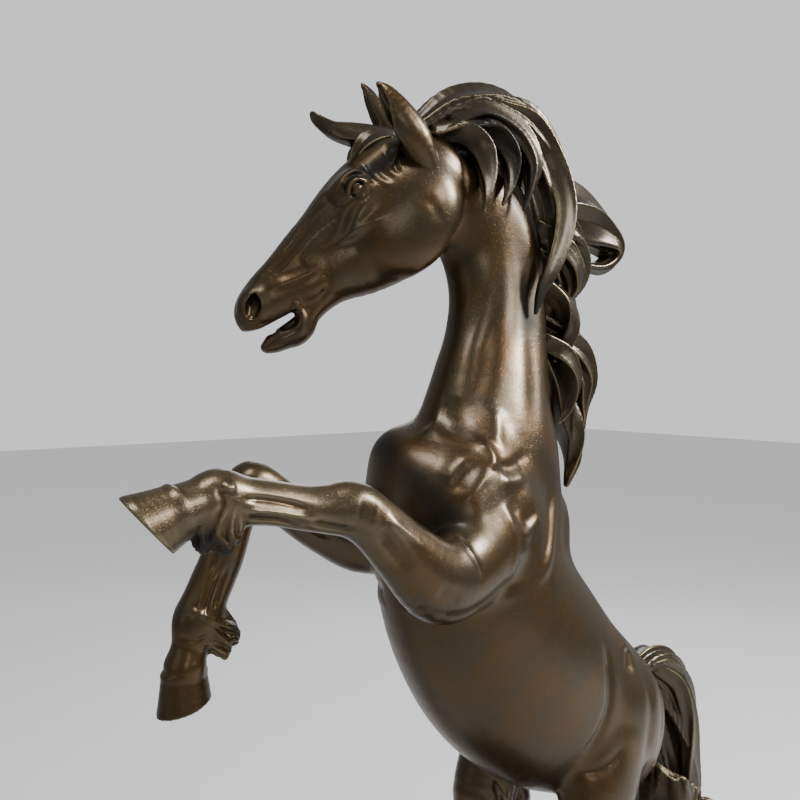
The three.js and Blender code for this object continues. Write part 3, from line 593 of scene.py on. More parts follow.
class Hoof:
    """From the coronet's oval to the sole's, with a flat sole, a flared wall and a rim at the coronet."""

    CORONET, SOLE = 11.5, 14.5

    def __init__(self, corners):
        self.y = corners["y"]
        front, back, toe, heel = (
            np.array([corners[k][0], self.y, corners[k][1]], float) for k in ("front", "back", "toe", "heel")
        )
        self.a, self.b = (front + back) / 2, (toe + heel) / 2
        self.reach_a, self.reach_b = (front - back) / 2, (toe - heel) / 2
        self.normal = unit(np.cross(toe - heel, (0, 1, 0)))
        if self.normal @ (self.b - self.a) < 0:
            self.normal = -self.normal
        self.normal = unit(self.normal + np.array([0, corners.get("turn", 0), 0]))
        self.top = unit(np.cross(front - back, (0, 1, 0)))
        if self.top @ (self.a - self.b) < 0:
            self.top = -self.top

    def add(self, lat):
        part = lat.part(np.minimum(self.a, self.b) - 30, np.maximum(self.a, self.b) + 30)
        if part is None:
            return
        x, y, z = lat.coords(part)
        axis = self.b - self.a
        length = np.linalg.norm(axis)
        axis = axis / length
        px, py, pz = x - self.a[0], y - self.a[1], z - self.a[2]
        along = px * axis[0] + py * axis[1] + pz * axis[2]
        t = np.clip(along / length, -0.2, 1.2)
        reach = self.reach_a[:, None, None, None] * (1 - t) + self.reach_b[:, None, None, None] * t
        half = np.sqrt((reach**2).sum(axis=0))
        ux, uz = reach[0] / half, reach[2] / half
        side = self.CORONET * (1 - t) + self.SOLE * t
        qx, qz = px - along * axis[0], pz - along * axis[2]
        o = (qx * ux + qz * uz) / half
        # the heels close in
        c = (py - along * axis[1]) / (side * (1 - 0.16 * np.clip(-o, 0, 1)))
        r = np.sqrt(o * o + c * c)
        wall = (r - 1) * np.minimum(half, side)
        sole = sum((q - at) * k for q, at, k in zip((x, y, z), self.b, self.normal))
        top = (x - self.a[0]) * self.top[0] + (z - self.a[2]) * self.top[2]
        wall = wall - 0.025 * np.sin(along * 1.7) * np.clip(along / 8, 0, 1)
        wall = wall - 0.55 * np.exp(-(((along - 2.4) / 2.1) ** 2))
        body = smooth_max(smooth_max(wall, sole, 0.8), top, 1.6)
        lat.field[part] = smooth_min(lat.field[part], body.astype(np.float32), 1.2)


TUFT_RIDGES = [(k * 1.05, 1.6, 0.7, 0.3, 0.2, k) for k in range(6)]


def leg_view(y):
    return View((0, y, 0), (1, 0, 0), (0, 0, 1), (0, -1, 0), (-26, 26))


def leg_strokes(name):
    y = LEGS[name]["hoof"]["y"]
    view = leg_view(y)
    if name == "left_foreleg_casting":
        lines = [
            ([(-289, 430), (-272, 427), (-254, 422)], 1.7, -1.9),  # tendons behind the cannon bone
            ([(-289, 424), (-272, 421.5), (-250, 416)], 1.4, 1.3),
            ([(-286, 420), (-270, 418), (-256, 413)], 1.3, -1.3),
            ([(-252, 415), (-240, 412), (-228, 409)], 2.0, -1.3),
            ([(-216, 408), (-206, 396), (-196, 384)], 3.4, -1.7),  # between the forearm's muscles
            ([(-212, 416), (-200, 404), (-188, 394)], 3.4, 1.4),
            ([(-178, 372), (-170, 366), (-160, 363)], 5.0, -0.9),
            ([(-229, 421), (-223, 418), (-217, 415)], 4.5, -0.8),
            ([(-299, 438), (-296, 436), (-293, 437)], 2.0, 1.4),
            ([(-304, 420), (-300, 428), (-302, 436)], 1.8, -0.9),
            ([(-151, 397), (-148, 389), (-144.5, 380), (-143, 371)], 2.2, -1.3),  # crease inside the elbow
        ]
    elif name == "right_foreleg_casting":
        lines = [
            ([(-252, 372), (-258, 358), (-262, 348)], 1.2, -1.8),  # tendons
            ([(-248, 374), (-253, 360), (-256, 350)], 1.2, -1.6),
            ([(-256, 378), (-262, 364), (-266, 352)], 1.4, 1.0),
            ([(-232, 424), (-226, 416), (-228, 408)], 2.2, 1.4),
            ([(-240, 398), (-234, 404), (-228, 402)], 2.2, -1.4),
            ([(-214, 406), (-196, 396), (-178, 384)], 2.8, -2.0),
            ([(-272, 346), (-268, 350), (-262, 346)], 1.8, 1.2),
            ([(-276, 336), (-268, 333), (-260, 336)], 1.6, -1.0),
        ]
    else:
        dx = 0 if name == "left_hind_leg_casting" else -28
        lines = [
            ([(22 + dx, 96), (15 + dx, 70), (10 + dx, 52)], 1.4, -1.7),  # tendons
            ([(17 + dx, 98), (11 + dx, 74), (6 + dx, 54)], 1.6, 1.0),
            ([(26 + dx, 146), (29 + dx, 132), (29 + dx, 120)], 2.4, -1.6),  # above the hock
            ([(24 + dx, 124), (20 + dx, 114), (20 + dx, 104)], 2.4, 1.4),
            ([(14 + dx, 126), (12 + dx, 114), (13 + dx, 102)], 2.0, -1.2),
            ([(-14 + dx, 196), (-4 + dx, 176), (4 + dx, 156)], 4.0, -1.8),
            ([(8 + dx, 196), (10 + dx, 174), (16 + dx, 154)], 4.0, -1.6),
            ([(-26 + dx, 178), (-20 + dx, 172), (-16 + dx, 164)], 3.0, 1.6),  # stifle
            ([(3 + dx, 44), (6 + dx, 38), (2 + dx, 31)], 1.8, 1.0),
        ]
    return [Stroke(view, *line, near=2.5) for line in lines]


BODY_SOFTNESS = 3.2  # millimetres over which the trunk's muscles melt into one another
LIMB_SOFTNESS = 0.9


def draw_horse(lat, details=True):
    """The whole horse, without its hair and ears, in a lattice."""
    loft(TRUNK, 10, 5).add(lat)
    loft(NECK, 16, 5).add(lat)
    for shape in body_muscles():
        shape.add(lat)
    for shape in head_shapes():
        shape.add(lat)
    for name, leg in LEGS.items():
        loft(leg["stations"], 7, 5).add(lat)
        if "hind" in name:
            x, _, z = leg["stations"][2][:3]
            y = leg["hoof"]["y"]
            Muscle((x - 8, y, z - 6), (10, 11, 15), 20, blend=5).add(lat)
            Muscle((x + 24, y, z + 2), (14, 13, 26), 34, blend=6).add(lat)
            hock = leg["stations"][5]
            Muscle((hock[0] + 9, y, hock[2] + 3), (6, 6, 9), 10, blend=4).add(lat)
        else:
            knee = leg["stations"][5 if "left" in name else 4]
            Muscle((knee[0] - 4, knee[1], knee[2] + 4), (10, 11, 9), blend=5).add(lat)
    if not details:
        return
    lat.soften(BODY_SOFTNESS)
    for name, leg in LEGS.items():
        loft(leg["stations"], 6, 5).add(lat)
    for shape in head_shapes():
        shape.add(lat)
    lat.soften(LIMB_SOFTNESS)
    for stroke in [*body_strokes(), *neck_strokes()]:
        stroke.add(lat)
    for name, leg in LEGS.items():
        for stroke in leg_strokes(name):
            stroke.add(lat)
        for tuft in leg["feather"]:
            loft(tuft, 4.0, 4, ridges=TUFT_RIDGES).add(lat)
        Hoof(leg["hoof"]).add(lat)
    # the oval chaplet mark left on the neck
    Muscle((-52, -20, 571), (1.8, 3, 4.6), 0, blend=1.2).cut(lat)
    draw_face(lat)


def draw_face(lat):
    for stroke in head_strokes():
        stroke.add(lat)
    for s in (1, -1):
        u, v, w = EYE
        face_muscle(u, s * (v + 1.2), w + 0.6, (6.4, 3.4, 3.6), 1.4, -12).cut(lat)
        # the nostril: a slanting comma that runs back and up
        face_loft([(151, s * 14, -2, 3.6, 3.2), (146, s * 13, 0.6, 4.6, 3.8), (140, s * 10, 4, 3.0, 3.0),
                   (134, s * 7, 4.4, 1.5, 2)], 2.4).cut(lat)
    # the open mouth: a narrow gap between the lips that widens in front, and its hollow corner
    face_loft([(133, 0, -20.5, 1.4, 17), (143, 0, -18.3, 2.5, 17), (152, 0, -15.7, 3.0, 18),
               (159, 0, -14.2, 5.2, 20),
               (168, 0, -12, 8, 20)], 1.6).cut(lat)
    for s in (1, -1):
        face_loft([(132, s * 11, -21.5, 2.0, 5), (137, s * 10, -23.6, 3.2, 5),
                   (143, s * 9, -21.5, 2.4, 4)], 1.4).cut(lat)
    face_loft([(114, 0, -23.5, 1.5, 5), (130, 0, -22, 3.2, 6), (148, 0, -18, 3.6, 6.5)], 2.0).cut(lat)
    # tongue and teeth inside it
    face_loft([(114, 0, -26, 2, 5), (132, 0, -25, 2.4, 5.5), (146, 0, -21.8, 1.6, 4.5)], 1.0).add(lat)
    for stroke in eye_details():
        stroke.add(lat)
    for s in (1, -1):
        u, v, w = EYE
        face_muscle(u, s * v, w, EYE_BALL, 0.3).add(lat)
        face_muscle(u + 6.5, s * (v - 0.6), w - 0.6, (2.0, 1.4, 1.2), 0.5).add(lat)


# ======== Hair ========
def lock(stations, count, wind=0.0, seed=1, height=0.5, breadth=0.34, blend=1.2):
    """A lock of hair: a tapered tube with sharp ridges that wind along it and hollows between them."""
    rng = np.random.default_rng(seed)
    ridges = [
        (
            2 * math.pi * (k + rng.uniform(-0.22, 0.22)) / count, wind * rng.uniform(0.7, 1.3),
            height * rng.uniform(0.6, 1.25), breadth * rng.uniform(0.8, 1.25), rng.uniform(0.05, 0.3),
            rng.uniform(0, 6.28),
        )
        for k in range(count)
    ]
    return loft(stations, blend, 5, ridges=ridges)


LOCKS = {
    "forelock_blown": [lock([
        (-126, 30, 634, 6, 8, 30), (-141, 37, 641, 8, 9, 30), (-156, 41, 643, 7, 7.5, 30),
        (-169, 45, 645, 5.5, 6, 30), (-178, 49, 651, 4, 4, 30), (-181, 51, 655, 2, 2, 30)], 4, 1.2, 3, 0.35)],
    "forelock_fall": [
        lock([(-124, 28, 636, 6, 9, 30), (-140, 31, 640, 7.5, 9.5, 30), (-152, 35, 633, 7, 8, 30),
              (-160, 37, 620, 3, 3.5, 30)], 5, 1.0, 4),
        lock([(-122, 20, 638, 5, 6, 30), (-136, 17, 636, 5.5, 6, 30), (-146, 15, 627, 4.5, 5, 30),
              (-151, 14, 614, 1.8, 2, 30)], 5, 1.4, 5),
        lock([(-120, 34, 636, 5, 6, 30), (-134, 42, 636, 5.5, 6, 30), (-146, 46, 627, 4.5, 5, 30),
              (-152, 48, 614, 1.8, 2, 30)], 5, -1.4, 25)],
    "mane_crest": [
        lock([(-120, 20, 648, 7, 10, 25), (-92, 16, 664, 12, 16, 22), (-58, 11, 664, 16, 20, 16),
              (-34, 6, 642, 17, 20, 10), (-24, 2, 612, 15, 16, 6), (-22, 2, 580, 12, 12, 4),
              (-24, 4, 552, 6, 6)], 9, 0.9, 6, 0.42, 0.26),
        lock([(-70, 0, 668, 6, 8, 16), (-44, -6, 660, 8, 9, 10), (-26, -12, 634, 8, 8, 6),
              (-20, -18, 606, 7.5, 6.5, 4), (-26, -21, 580, 6.5, 5, 4), (-38, -22, 558, 5, 3.6, 2),
              (-45, -20, 544, 3.4, 2.6, 2), (-48, -18, 530, 1.4, 1.4)], 4, 1.2, 31, 0.6, 0.26),
        lock([(-104, 18, 632, 10, 15, 25), (-74, 15, 638, 16, 20, 20), (-48, 11, 616, 16, 18, 14),
              (-34, 9, 584, 13, 15, 10), (-30, 6, 540, 11, 13, 8), (-30, 3, 490, 10, 12, 4),
              (-32, 1, 440, 8, 9)], 6, 0.6, 32, 0.3, 0.3, 3.0),
        lock([(-100, 8, 655, 5, 7, 22), (-80, 0, 662, 7, 8, 20), (-58, -8, 652, 7, 7, 16),
              (-48, -14, 632, 6, 6, 12), (-52, -16, 612, 3, 3, 10), (-58, -16, 598, 1.2, 1.2, 10)],
             5, 1.4, 33, 0.55, 0.28)],
    "mane_front_lock": [lock([
        (-114, 8, 646, 5, 7, 25), (-97, -1, 648, 7, 8, 25), (-87, -7, 636, 6.5, 6.5, 25),
        (-86, -11, 619, 5, 4.5, 25), (-89, -13, 605, 3, 2.6, 25), (-91, -13, 594, 1.2, 1.2, 25)],
        4, 1.6, 7, 0.6, 0.26)],
    "mane_second_lock": [lock([
        (-92, 4, 652, 6, 7, 20), (-74, -4, 650, 8, 8, 20), (-66, -10, 634, 6.5, 6.5, 20),
        (-68, -13, 616, 3.6, 3.6, 20), (-75, -14, 600, 1.2, 1.2, 20)], 4, 1.6, 8, 0.6, 0.26)],
    "mane_flying_lock": [lock([
        (-28, 8, 610, 12, 13), (-6, 9, 611, 16, 15), (20, 10, 606, 16, 16), (44, 11, 598, 13, 14),
        (61, 9, 587, 8.5, 11), (60, 8, 576, 5.5, 8), (46, 6, 569, 4.6, 6), (30, 5, 569, 3, 4),
        (22, 4, 572, 1.5, 2)], 7, 1.5, 9, 0.5, 0.3)],
    "mane_curl_upper": [
        lock([(-28, 4, 606, 10, 12), (-8, 4, 596, 12, 14), (8, 4, 580, 10, 13), (12, 4, 560, 8, 11),
              (6, 3, 542, 3, 4)], 7, 2.4, 10, 0.5, 0.28),
        lock([(-30, -4, 590, 7, 8), (-16, -10, 580, 7, 8), (-5, -12, 566, 6, 7), (-2, -11, 550, 4, 5),
              (-8, -9, 538, 1.5, 1.5)], 4, 1.8, 40, 0.6, 0.28)],
    "mane_curl_middle": [
        lock([(-28, 4, 570, 9, 11), (-10, 4, 556, 10, 13), (1, 4, 539, 8.5, 12), (1, 3, 522, 5.5, 8),
              (-7, 2, 508, 2, 2.4)], 6, -2.2, 11, 0.5, 0.28),
        lock([(-30, -6, 552, 6, 7), (-16, -12, 540, 6.5, 7), (-8, -13, 524, 5.5, 6),
              (-10, -11, 508, 3.5, 4), (-18, -8, 498, 1.4, 1.4)], 4, -1.8, 41, 0.6, 0.28)],
    "mane_curl_lower": [
        lock([(-24, 3, 534, 8, 10), (-5, 3, 519, 10, 12), (11, 3, 503, 10.5, 13), (19, 2, 485, 9, 12),
              (17, 1, 467, 6, 8), (21, 0, 449, 2, 2.4)], 7, 2.6, 12, 0.5, 0.28),
        lock([(-26, -6, 512, 6, 7), (-12, -11, 500, 6.5, 7), (-3, -11, 484, 5.5, 6),
              (-4, -9, 466, 3.5, 4), (-11, -6, 454, 1.4, 1.4)], 4, 1.8, 42, 0.6, 0.28)],
    "mane_curl_last": [
        lock([(-27, 2, 500, 7, 9), (-10, 2, 481, 8, 11), (0, 1, 461, 8.5, 11), (8, 0, 443, 7, 9),
              (9, 0, 426, 5, 6), (4, 0, 408, 2, 2.2)], 6, -2.4, 13, 0.5, 0.28)],
    "mane_right_upper": [lock([
        (-100, 20, 646, 8, 10, 22), (-84, 34, 640, 10, 9, 22), (-78, 42, 618, 10, 7, 20),
        (-82, 44, 594, 7, 5.5, 18),
        (-90, 42, 572, 2, 2, 18)], 6, 1.8, 14, 0.5, 0.28)],
    "mane_right_middle": [lock([
        (-56, 16, 638, 10, 10, 18), (-48, 31, 624, 12, 9, 16), (-46, 38, 598, 12, 7, 14),
        (-52, 39, 566, 8, 5.5, 12), (-64, 36, 540, 2, 2, 12)], 7, 1.6, 15, 0.5, 0.28)],
    "mane_right_lower": [lock([
        (-34, 10, 594, 10, 10, 12), (-28, 25, 574, 12, 9, 12), (-30, 33, 544, 11, 7, 10),
        (-38, 34, 512, 8, 5.5, 8),
        (-50, 32, 486, 2, 2, 6)], 7, 1.6, 16, 0.5, 0.28)],
    "tail": [
        lock([(70, 0, 250, 9, 9), (94, 0, 259, 11, 12), (116, 1, 249, 15, 15), (134, 4, 223, 19, 18),
              (145, 9, 188, 21, 20), (151, 14, 150, 20, 20), (149, 18, 112, 17, 17),
              (144, 20, 80, 10, 11), (149, 20, 56, 3, 4)], 9, 2.2, 17, 0.45, 0.24),
        lock([(100, -6, 256, 6, 8), (122, -9, 240, 8, 9), (136, -10, 210, 9, 9), (144, -8, 174, 8, 9),
              (152, -6, 140, 7, 7), (150, -2, 108, 5, 5), (141, 2, 84, 1.6, 1.6)], 5, -2.0, 50, 0.6, 0.28),
        lock([(104, 6, 254, 6, 8), (128, 14, 238, 8, 9), (146, 22, 206, 8, 9), (158, 28, 168, 7, 8),
              (160, 32, 134, 5, 6), (152, 34, 104, 1.6, 1.6)], 5, 2.0, 51, 0.6, 0.28)],
}
EARS = {
    "left_ear": [
        (-123, 5, 620, 8.4, 8.4, 30), (-137, 1.5, 636, 11, 9.2, 30), (-149, 3, 649, 10.8, 8, 30),
        (-157, 6, 661, 7, 5.2, 30), (-161, 8, 668, 1.4, 1.4, 30)],
    "right_ear": [
        (-122, 34, 634, 5, 6.5, 20), (-131, 41, 653, 7.8, 6.8, 20), (-137, 44, 664, 7.2, 5.8, 20),
        (-141, 46, 673, 5, 4, 20), (-145, 47, 680, 1.2, 1.2, 20)],
}
EAR_SCOOP = {"share": 0.66, "shift": (-5.4, 2.0, 1.2)}


def ear_shapes(name):
    rows = EARS[name]
    share, shift = EAR_SCOOP["share"], EAR_SCOOP["shift"]
    dx, dy, dz = shift
    scoop = [(x + dx, y + dy, z + dz, d * share, w * share, yaw) for x, y, z, d, w, yaw in rows[1:-1]]
    tuft = [(x - 1.2, y, z, d * 0.28, w * 0.26, yaw) for x, y, z, d, w, yaw in rows[1:-1]]
    return loft(rows, 1.0, 4), loft(scoop, 1.6, 4), loft(tuft, 1.2, 4)


# ======== The stump and the ground ========
STUMP = [
    (82, -12, -16, 40, 38), (83, -12, 6, 37, 35), (86, -13, 40, 27, 27), (89, -15, 90, 23, 24),
    (94, -17, 132, 24, 24), (104, -19, 166, 27, 23), (110, -20, 186, 24, 20),
]
STUMP_BREAK = {"at": (80, -20, 190), "normal": (0.62, -0.1, 1)}
STUMP_KNOTS = [
    ((62, -33, 96), 9), ((75, -42, 150), 8), ((112, 4, 112), 9), ((82, 13, 60), 10), ((100, -44, 62), 8),
]
STUMP_LIMBS = [
    [(104, -26, 118, 13, 12), (118, -33, 132, 10, 10), (126, -37, 144, 9, 9)],
    [(70, -20, 30, 14, 12), (50, -34, 10, 11, 10), (36, -42, 2, 7, 7)],
    [(88, -32, 28, 14, 12), (92, -42, 9, 10, 10), (94, -47, 2, 6, 6)],
]


def near_surface(lat, reach):
    """The cells close to the surface, and where they are."""
    cells = np.nonzero(np.abs(lat.field) < reach)
    return cells, [lat.axes[i][cells[i]].astype(float) for i in range(3)]


def draw_stump(lat, details=True):
    loft(STUMP, 3, 3).add(lat)
    for limb in STUMP_LIMBS:
        loft(limb, 4, 4).add(lat)
    if details:
        cells, (x, y, z) = near_surface(lat, 7)
        lean = 20 * (z / 190) ** 1.5
        angle = np.arctan2(y + 15, x - 84 - lean) + z / 150
        around = 26 * np.stack([np.cos(angle), np.sin(angle)])
        for scale, amount, seed in ((9, 3.0, 1), (4.5, 1.5, 2)):
            n = lattice_noise(around[0], around[1], z / 4.5, scale, seed)
            lat.field[cells] -= (amount * (0.55 - 1.6 * np.abs(n))).astype(np.float32)
        for at, size in STUMP_KNOTS:
            r = np.sqrt((x - at[0]) ** 2 + (y - at[1]) ** 2 + ((z - at[2]) / 1.5) ** 2)
            ring = 2.6 * np.exp(-(((r - size) / 3.2) ** 2)) - 3.2 * np.exp(-((r / (0.6 * size)) ** 2))
            lat.field[cells] -= ring.astype(np.float32)
    normal = unit(STUMP_BREAK["normal"])
    at = np.array(STUMP_BREAK["at"], float)
    x, y, z = lat.coords((slice(None),) * 3)
    face = reach_along(normal, x - at[0], y - at[1], z - at[2])
    if details:
        r = np.hypot(x - 112, (y + 21)) + 0 * z
        face = face + 1.1 * np.cos(r * 1.15) * np.clip(r / 8, 0, 1) - 2.5 * np.exp(-((r / 5) ** 2)) + 1.2
        lobe = np.arctan2(y + 21, x - 112) + 0 * z
        face = face + 1.2 * np.cos(7 * lobe) * np.clip(r / 14, 0, 1.4)
    lat.field = smooth_max(lat.field, face.astype(np.float32), 1.2 if details else 0.1)


GROUND_HEIGHT = GROUND - BASE_TOP
GROUND_OVAL = {"at": (8, 0), "half": (114, 75)}
# its side's height and spread as shares, then the waves round its oval, each with a share and a phase
GROUND_PROFILE = ((0, 1), (0.3, 0.985), (0.62, 0.93), (0.86, 0.84), (1, 0.74))
GROUND_RIPPLES = ((2, 0.035, 0.4), (3, 0.03, 1.9), (5, 0.022, 3.1), (9, 0.01, 0.7))


def draw_ground(lat):
    x, y, z = lat.coords((slice(None),) * 3)
    (cx, cy), (hx, hy) = GROUND_OVAL["at"], GROUND_OVAL["half"]
    angle = np.arctan2((y - cy) / hy, (x - cx) / hx)
    ripple = 1 + sum(share * np.cos(n * angle + phase) for n, share, phase in GROUND_RIPPLES)
    height = np.clip((z + GROUND_HEIGHT) / GROUND_HEIGHT, 0, 1)
    spread = np.interp(height, *zip(*GROUND_PROFILE))
    r = np.hypot((x - cx) / hx, (y - cy) / hy) / (ripple * spread)
    side = ((r - 1) * 0.5 * (hx + hy)).astype(np.float32)
    lat.field = smooth_max(side, (z + 0.3 + 0 * side).astype(np.float32), 3.0)
    cells, (px, py, pz) = near_surface(lat, 8)
    rough = np.clip((-pz - 1.0) / 4, 0, 1)
    rock = 0
    for scale, amount, seed in ((22, 3.2, 5), (9, 1.8, 6), (4, 0.8, 7)):
        rock = rock + amount * np.abs(lattice_noise(px, py, pz * 1.6, scale, seed))
    top = 0.9 * np.abs(lattice_noise(px, py, pz, 14, 8)) + 0.5 * np.abs(lattice_noise(px, py, pz, 5, 9))
    lat.field[cells] += (rock * rough + top * (1 - rough)).astype(np.float32)
    floor = (-(z + GROUND_HEIGHT) + 0 * side).astype(np.float32)
    lat.field = smooth_max(lat.field, floor, 0.3)


# ======== From fields to meshes ========
def largest_part(count, faces):
    """Which of the faces belong to the biggest connected piece."""
    label = np.arange(count)
    while True:
        low = label[faces].min(axis=1)
        lower = label.copy()
        for column in range(faces.shape[1]):
            np.minimum.at(lower, faces[:, column], low)
        lower = lower[lower]
        if (lower == label).all():
            break
        label = lower
    owner = label[faces[:, 0]]
    names, sizes = np.unique(owner, return_counts=True)
    return owner == names[sizes.argmax()]


def polygonise(lat):
    """The surface where the field is nought: points in millimetres, and quads that face outwards."""
    grid = openvdb.FloatGrid(3.0)
    grid.copyFromArray(np.clip(lat.field / lat.step, -3, 3))
    points, triangles, quads = grid.convertToPolygons(isovalue=0.0, adaptivity=0.0)
    faces = np.asarray(quads, np.int64)
    if len(triangles):
        triangles = np.asarray(triangles, np.int64)
        faces = np.vstack([faces, triangles[:, [0, 1, 2, 2]]])
    points = np.asarray(points, float) * lat.step + lat.low
    faces = faces[largest_part(len(points), faces)]
    used, faces = np.unique(faces, return_inverse=True)
    faces = faces.reshape(-1, 4)
    points = points[used]
    a, b, c, d = (points[faces[:, i]] for i in range(4))
    volume = np.einsum("ij,ij->i", a, np.cross(b, c)).sum() + np.einsum("ij,ij->i", a, np.cross(c, d)).sum()
    return points, faces if volume > 0 else faces[:, ::-1]


def normals_of(points, faces):
    """Each point's normal, from the diagonals of the quads round it."""
    n = np.cross(points[faces[:, 2]] - points[faces[:, 0]], points[faces[:, 3]] - points[faces[:, 1]])
    total = np.zeros_like(points)
    for i in range(4):
        np.add.at(total, faces[:, i], n)
    return total / np.maximum(np.linalg.norm(total, axis=1, keepdims=True), 1e-9)


def light_reaching(points, normals, lat, wide):
    """How open the surface is, 1 in the open and 0 deep in a crease, from two fields."""
    closed = 0
    for field, reach, weight in (
        (lat, 1.5, 0.30), (lat, 3.0, 0.30), (lat, 6.0, 0.26), (wide, 12.0, 0.26), (wide, 22.0, 0.18),
    ):
        clear = np.clip(field.sample(points + normals * reach) / reach, -1, 1)
        closed = closed + weight * (1 - clear)
    return np.clip(1.06 - closed, 0, 1)


# Where shade is painted near-black into the colour: under the mane, in the folds of the breast, behind the
# forelock, round the eyes and in the fetlocks' tufts. Each is a path of x, y and z, and a radius.
PAINTED_SHADE_PLACES = [
    ([(-84, -6, 652), (-63, -13, 634), (-56, -18, 592), (-56, -20, 557), (-51, -20, 525)], 19),
    ([(-104, 2, 640), (-86, -4, 622)], 10),
    ([(-152, 14, 446), (-152, -22, 422), (-142, -42, 397)], 22),
    ([tuple(on_head(16, 17, 2)), tuple(on_head(34, 18, 6))], 11),
    ([tuple(on_head(16, -17, 2)), tuple(on_head(34, -18, 6))], 11),
    ([tuple(on_head(43, 19, 11)), tuple(on_head(55, 19, 10))], 7),
    ([tuple(on_head(43, -19, 11)), tuple(on_head(55, -19, 10))], 7),
    ([(-306, -46, 410), (-292, -48, 401)], 14),
    ([(-250, 54, 332), (-240, 55, 334)], 9),
]


def distance_to(points, path):
    nearest = np.full(len(points), 1e6)
    for a, b in zip(np.array(path[:-1], float), np.array(path[1:], float)):
        along = b - a
        t = np.clip((points - a) @ along / (along @ along), 0, 1)
        nearest = np.minimum(nearest, np.linalg.norm(points - a - t[:, None] * along, axis=1))
    return nearest


def outside_painted_shade(points):
    """0 in the places of painted shade and 1 away from them, with soft borders."""
    clear = np.ones(len(points))
    for path, radius in PAINTED_SHADE_PLACES:
        clear *= np.clip(distance_to(points, path) / radius - 0.3, 0, 1)
    return clear


# Painted light: the raised near foreleg is painted lighter, towards the worn colour, as where light falls on
# it.
LIT_FORELEG = [([(-205, -55, 408), (-240, -51, 420), (-297, -44, 428), (-335, -44, 422)], 34)]


def lit_foreleg(points):
    return 1 - np.min([distance_to(points, path) / radius for path, radius in LIT_FORELEG], axis=0).clip(0, 1)


def edge_of(points, lat):
    """How sharply the surface bends outwards, from 0 to about 1."""
    h = 1.6
    here = lat.sample(points)
    bend = -6 * here
    for axis in np.eye(3):
        for shift in (-h * axis, h * axis):
            bend = bend + lat.sample(points + shift)
    return np.clip(bend / h**2 * 1.1, -1, 1)


def to_object(name, points, faces, material, attributes):
    """A smooth-shaded object from quads in millimetres above the ground."""
    mesh = bpy.data.meshes.new(name)
    flat = faces.reshape(-1)
    corners = np.full(len(faces), 4)
    short = faces[:, 2] == faces[:, 3]
    if short.any():
        keep = np.ones(faces.shape, bool)
        keep[short, 3] = False
        flat = faces[keep]
        corners[short] = 3
    mesh.vertices.add(len(points))
    world = points.copy()
    world[:, 2] += GROUND
    mesh.vertices.foreach_set("co", (world * MM).astype(np.float32).ravel())
    mesh.loops.add(len(flat))
    mesh.loops.foreach_set("vertex_index", flat.astype(np.int32))
    mesh.polygons.add(len(corners))
    starts = np.concatenate([[0], np.cumsum(corners)[:-1]]).astype(np.int32)
    mesh.polygons.foreach_set("loop_start", starts)
    mesh.polygons.foreach_set("use_smooth", np.ones(len(corners), bool))
    mesh.update(calc_edges=True)
    for key, values in attributes.items():
        layer = mesh.attributes.new(key, "FLOAT", "POINT")
        layer.data.foreach_set("value", values.astype(np.float32))
    mesh.validate()
    obj = bpy.data.objects.new(name, mesh)
    bpy.context.collection.objects.link(obj)
    mesh.materials.append(material)
    return obj


def in_metres(x, y, z):
    return Vector((x * MM, y * MM, (z + GROUND) * MM))


def saw(obj, cuts, seed):
    """Cuts through a casting at its seams and keeps what is joined to the seed, closed with flat ends.

    Each cut is a plane, its point and normal, that works inside a ball of its own radius."""
    mesh = obj.data
    bm = bmesh.new()
    bm.from_mesh(mesh)
    for at, normal, radius in cuts:
        at = in_metres(*at)
        normal = Vector(normal).normalized()
        near = {f for f in bm.faces if (f.calc_center_median() - at).length < radius * MM}
        geom = list({v for f in near for v in f.verts} | {e for f in near for e in f.edges} | near)
        bmesh.ops.bisect_plane(bm, geom=geom, dist=1e-7, plane_co=at, plane_no=normal)
        ring = [
            e for e in bm.edges
            if all(abs((v.co - at).dot(normal)) < 2e-7 and (v.co - at).length < radius * MM for v in e.verts)
        ]
        bmesh.ops.split_edges(bm, edges=ring)
    seed = in_metres(*seed)
    bm.verts.ensure_lookup_table()
    first = min(bm.verts, key=lambda v: (v.co - seed).length_squared)
    kept, front = {first}, [first]
    while front:
        grown = []
        for v in front:
            for e in v.link_edges:
                other = e.other_vert(v)
                if other not in kept:
                    kept.add(other)
                    grown.append(other)
        front = grown
    bmesh.ops.delete(bm, geom=[v for v in bm.verts if v not in kept], context="VERTS")
    rim = [e for e in bm.edges if e.is_boundary]
    caps = bmesh.ops.holes_fill(bm, edges=rim, sides=0)["faces"]
    for e in (e for e in rim if e.is_valid):
        e.smooth = False
    for f in caps:
        f.smooth = False
    bmesh.ops.triangulate(bm, faces=caps)
    bmesh.ops.recalc_face_normals(bm, faces=bm.faces)
    bm.to_mesh(mesh)
    bm.free()


def smooth_shading(obj, lat):
    """Shades the piece by its field's own slope, so that it runs on unbroken across a seam."""
    mesh = obj.data
    points = np.zeros(len(mesh.vertices) * 3, np.float32)
    mesh.vertices.foreach_get("co", points)
    points = points.reshape(-1, 3) / MM
    points[:, 2] -= GROUND
    slope = np.zeros_like(points)
    for axis, shift in enumerate(0.7 * lat.step * np.eye(3)):
        slope[:, axis] = lat.sample(points + shift) - lat.sample(points - shift)
    slope /= np.maximum(np.linalg.norm(slope, axis=1, keepdims=True), 1e-6)
    corners = np.zeros(len(mesh.loops), np.int32)
    mesh.loops.foreach_get("vertex_index", corners)
    normals = slope[corners]
    for polygon in mesh.polygons:
        if not polygon.use_smooth:
            start = polygon.loop_start
            normals[start : start + polygon.loop_total] = polygon.normal
    mesh.normals_split_custom_set(normals)


def finish_piece(obj, *nodes, slot):
    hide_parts(*nodes)
    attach(obj, "root")


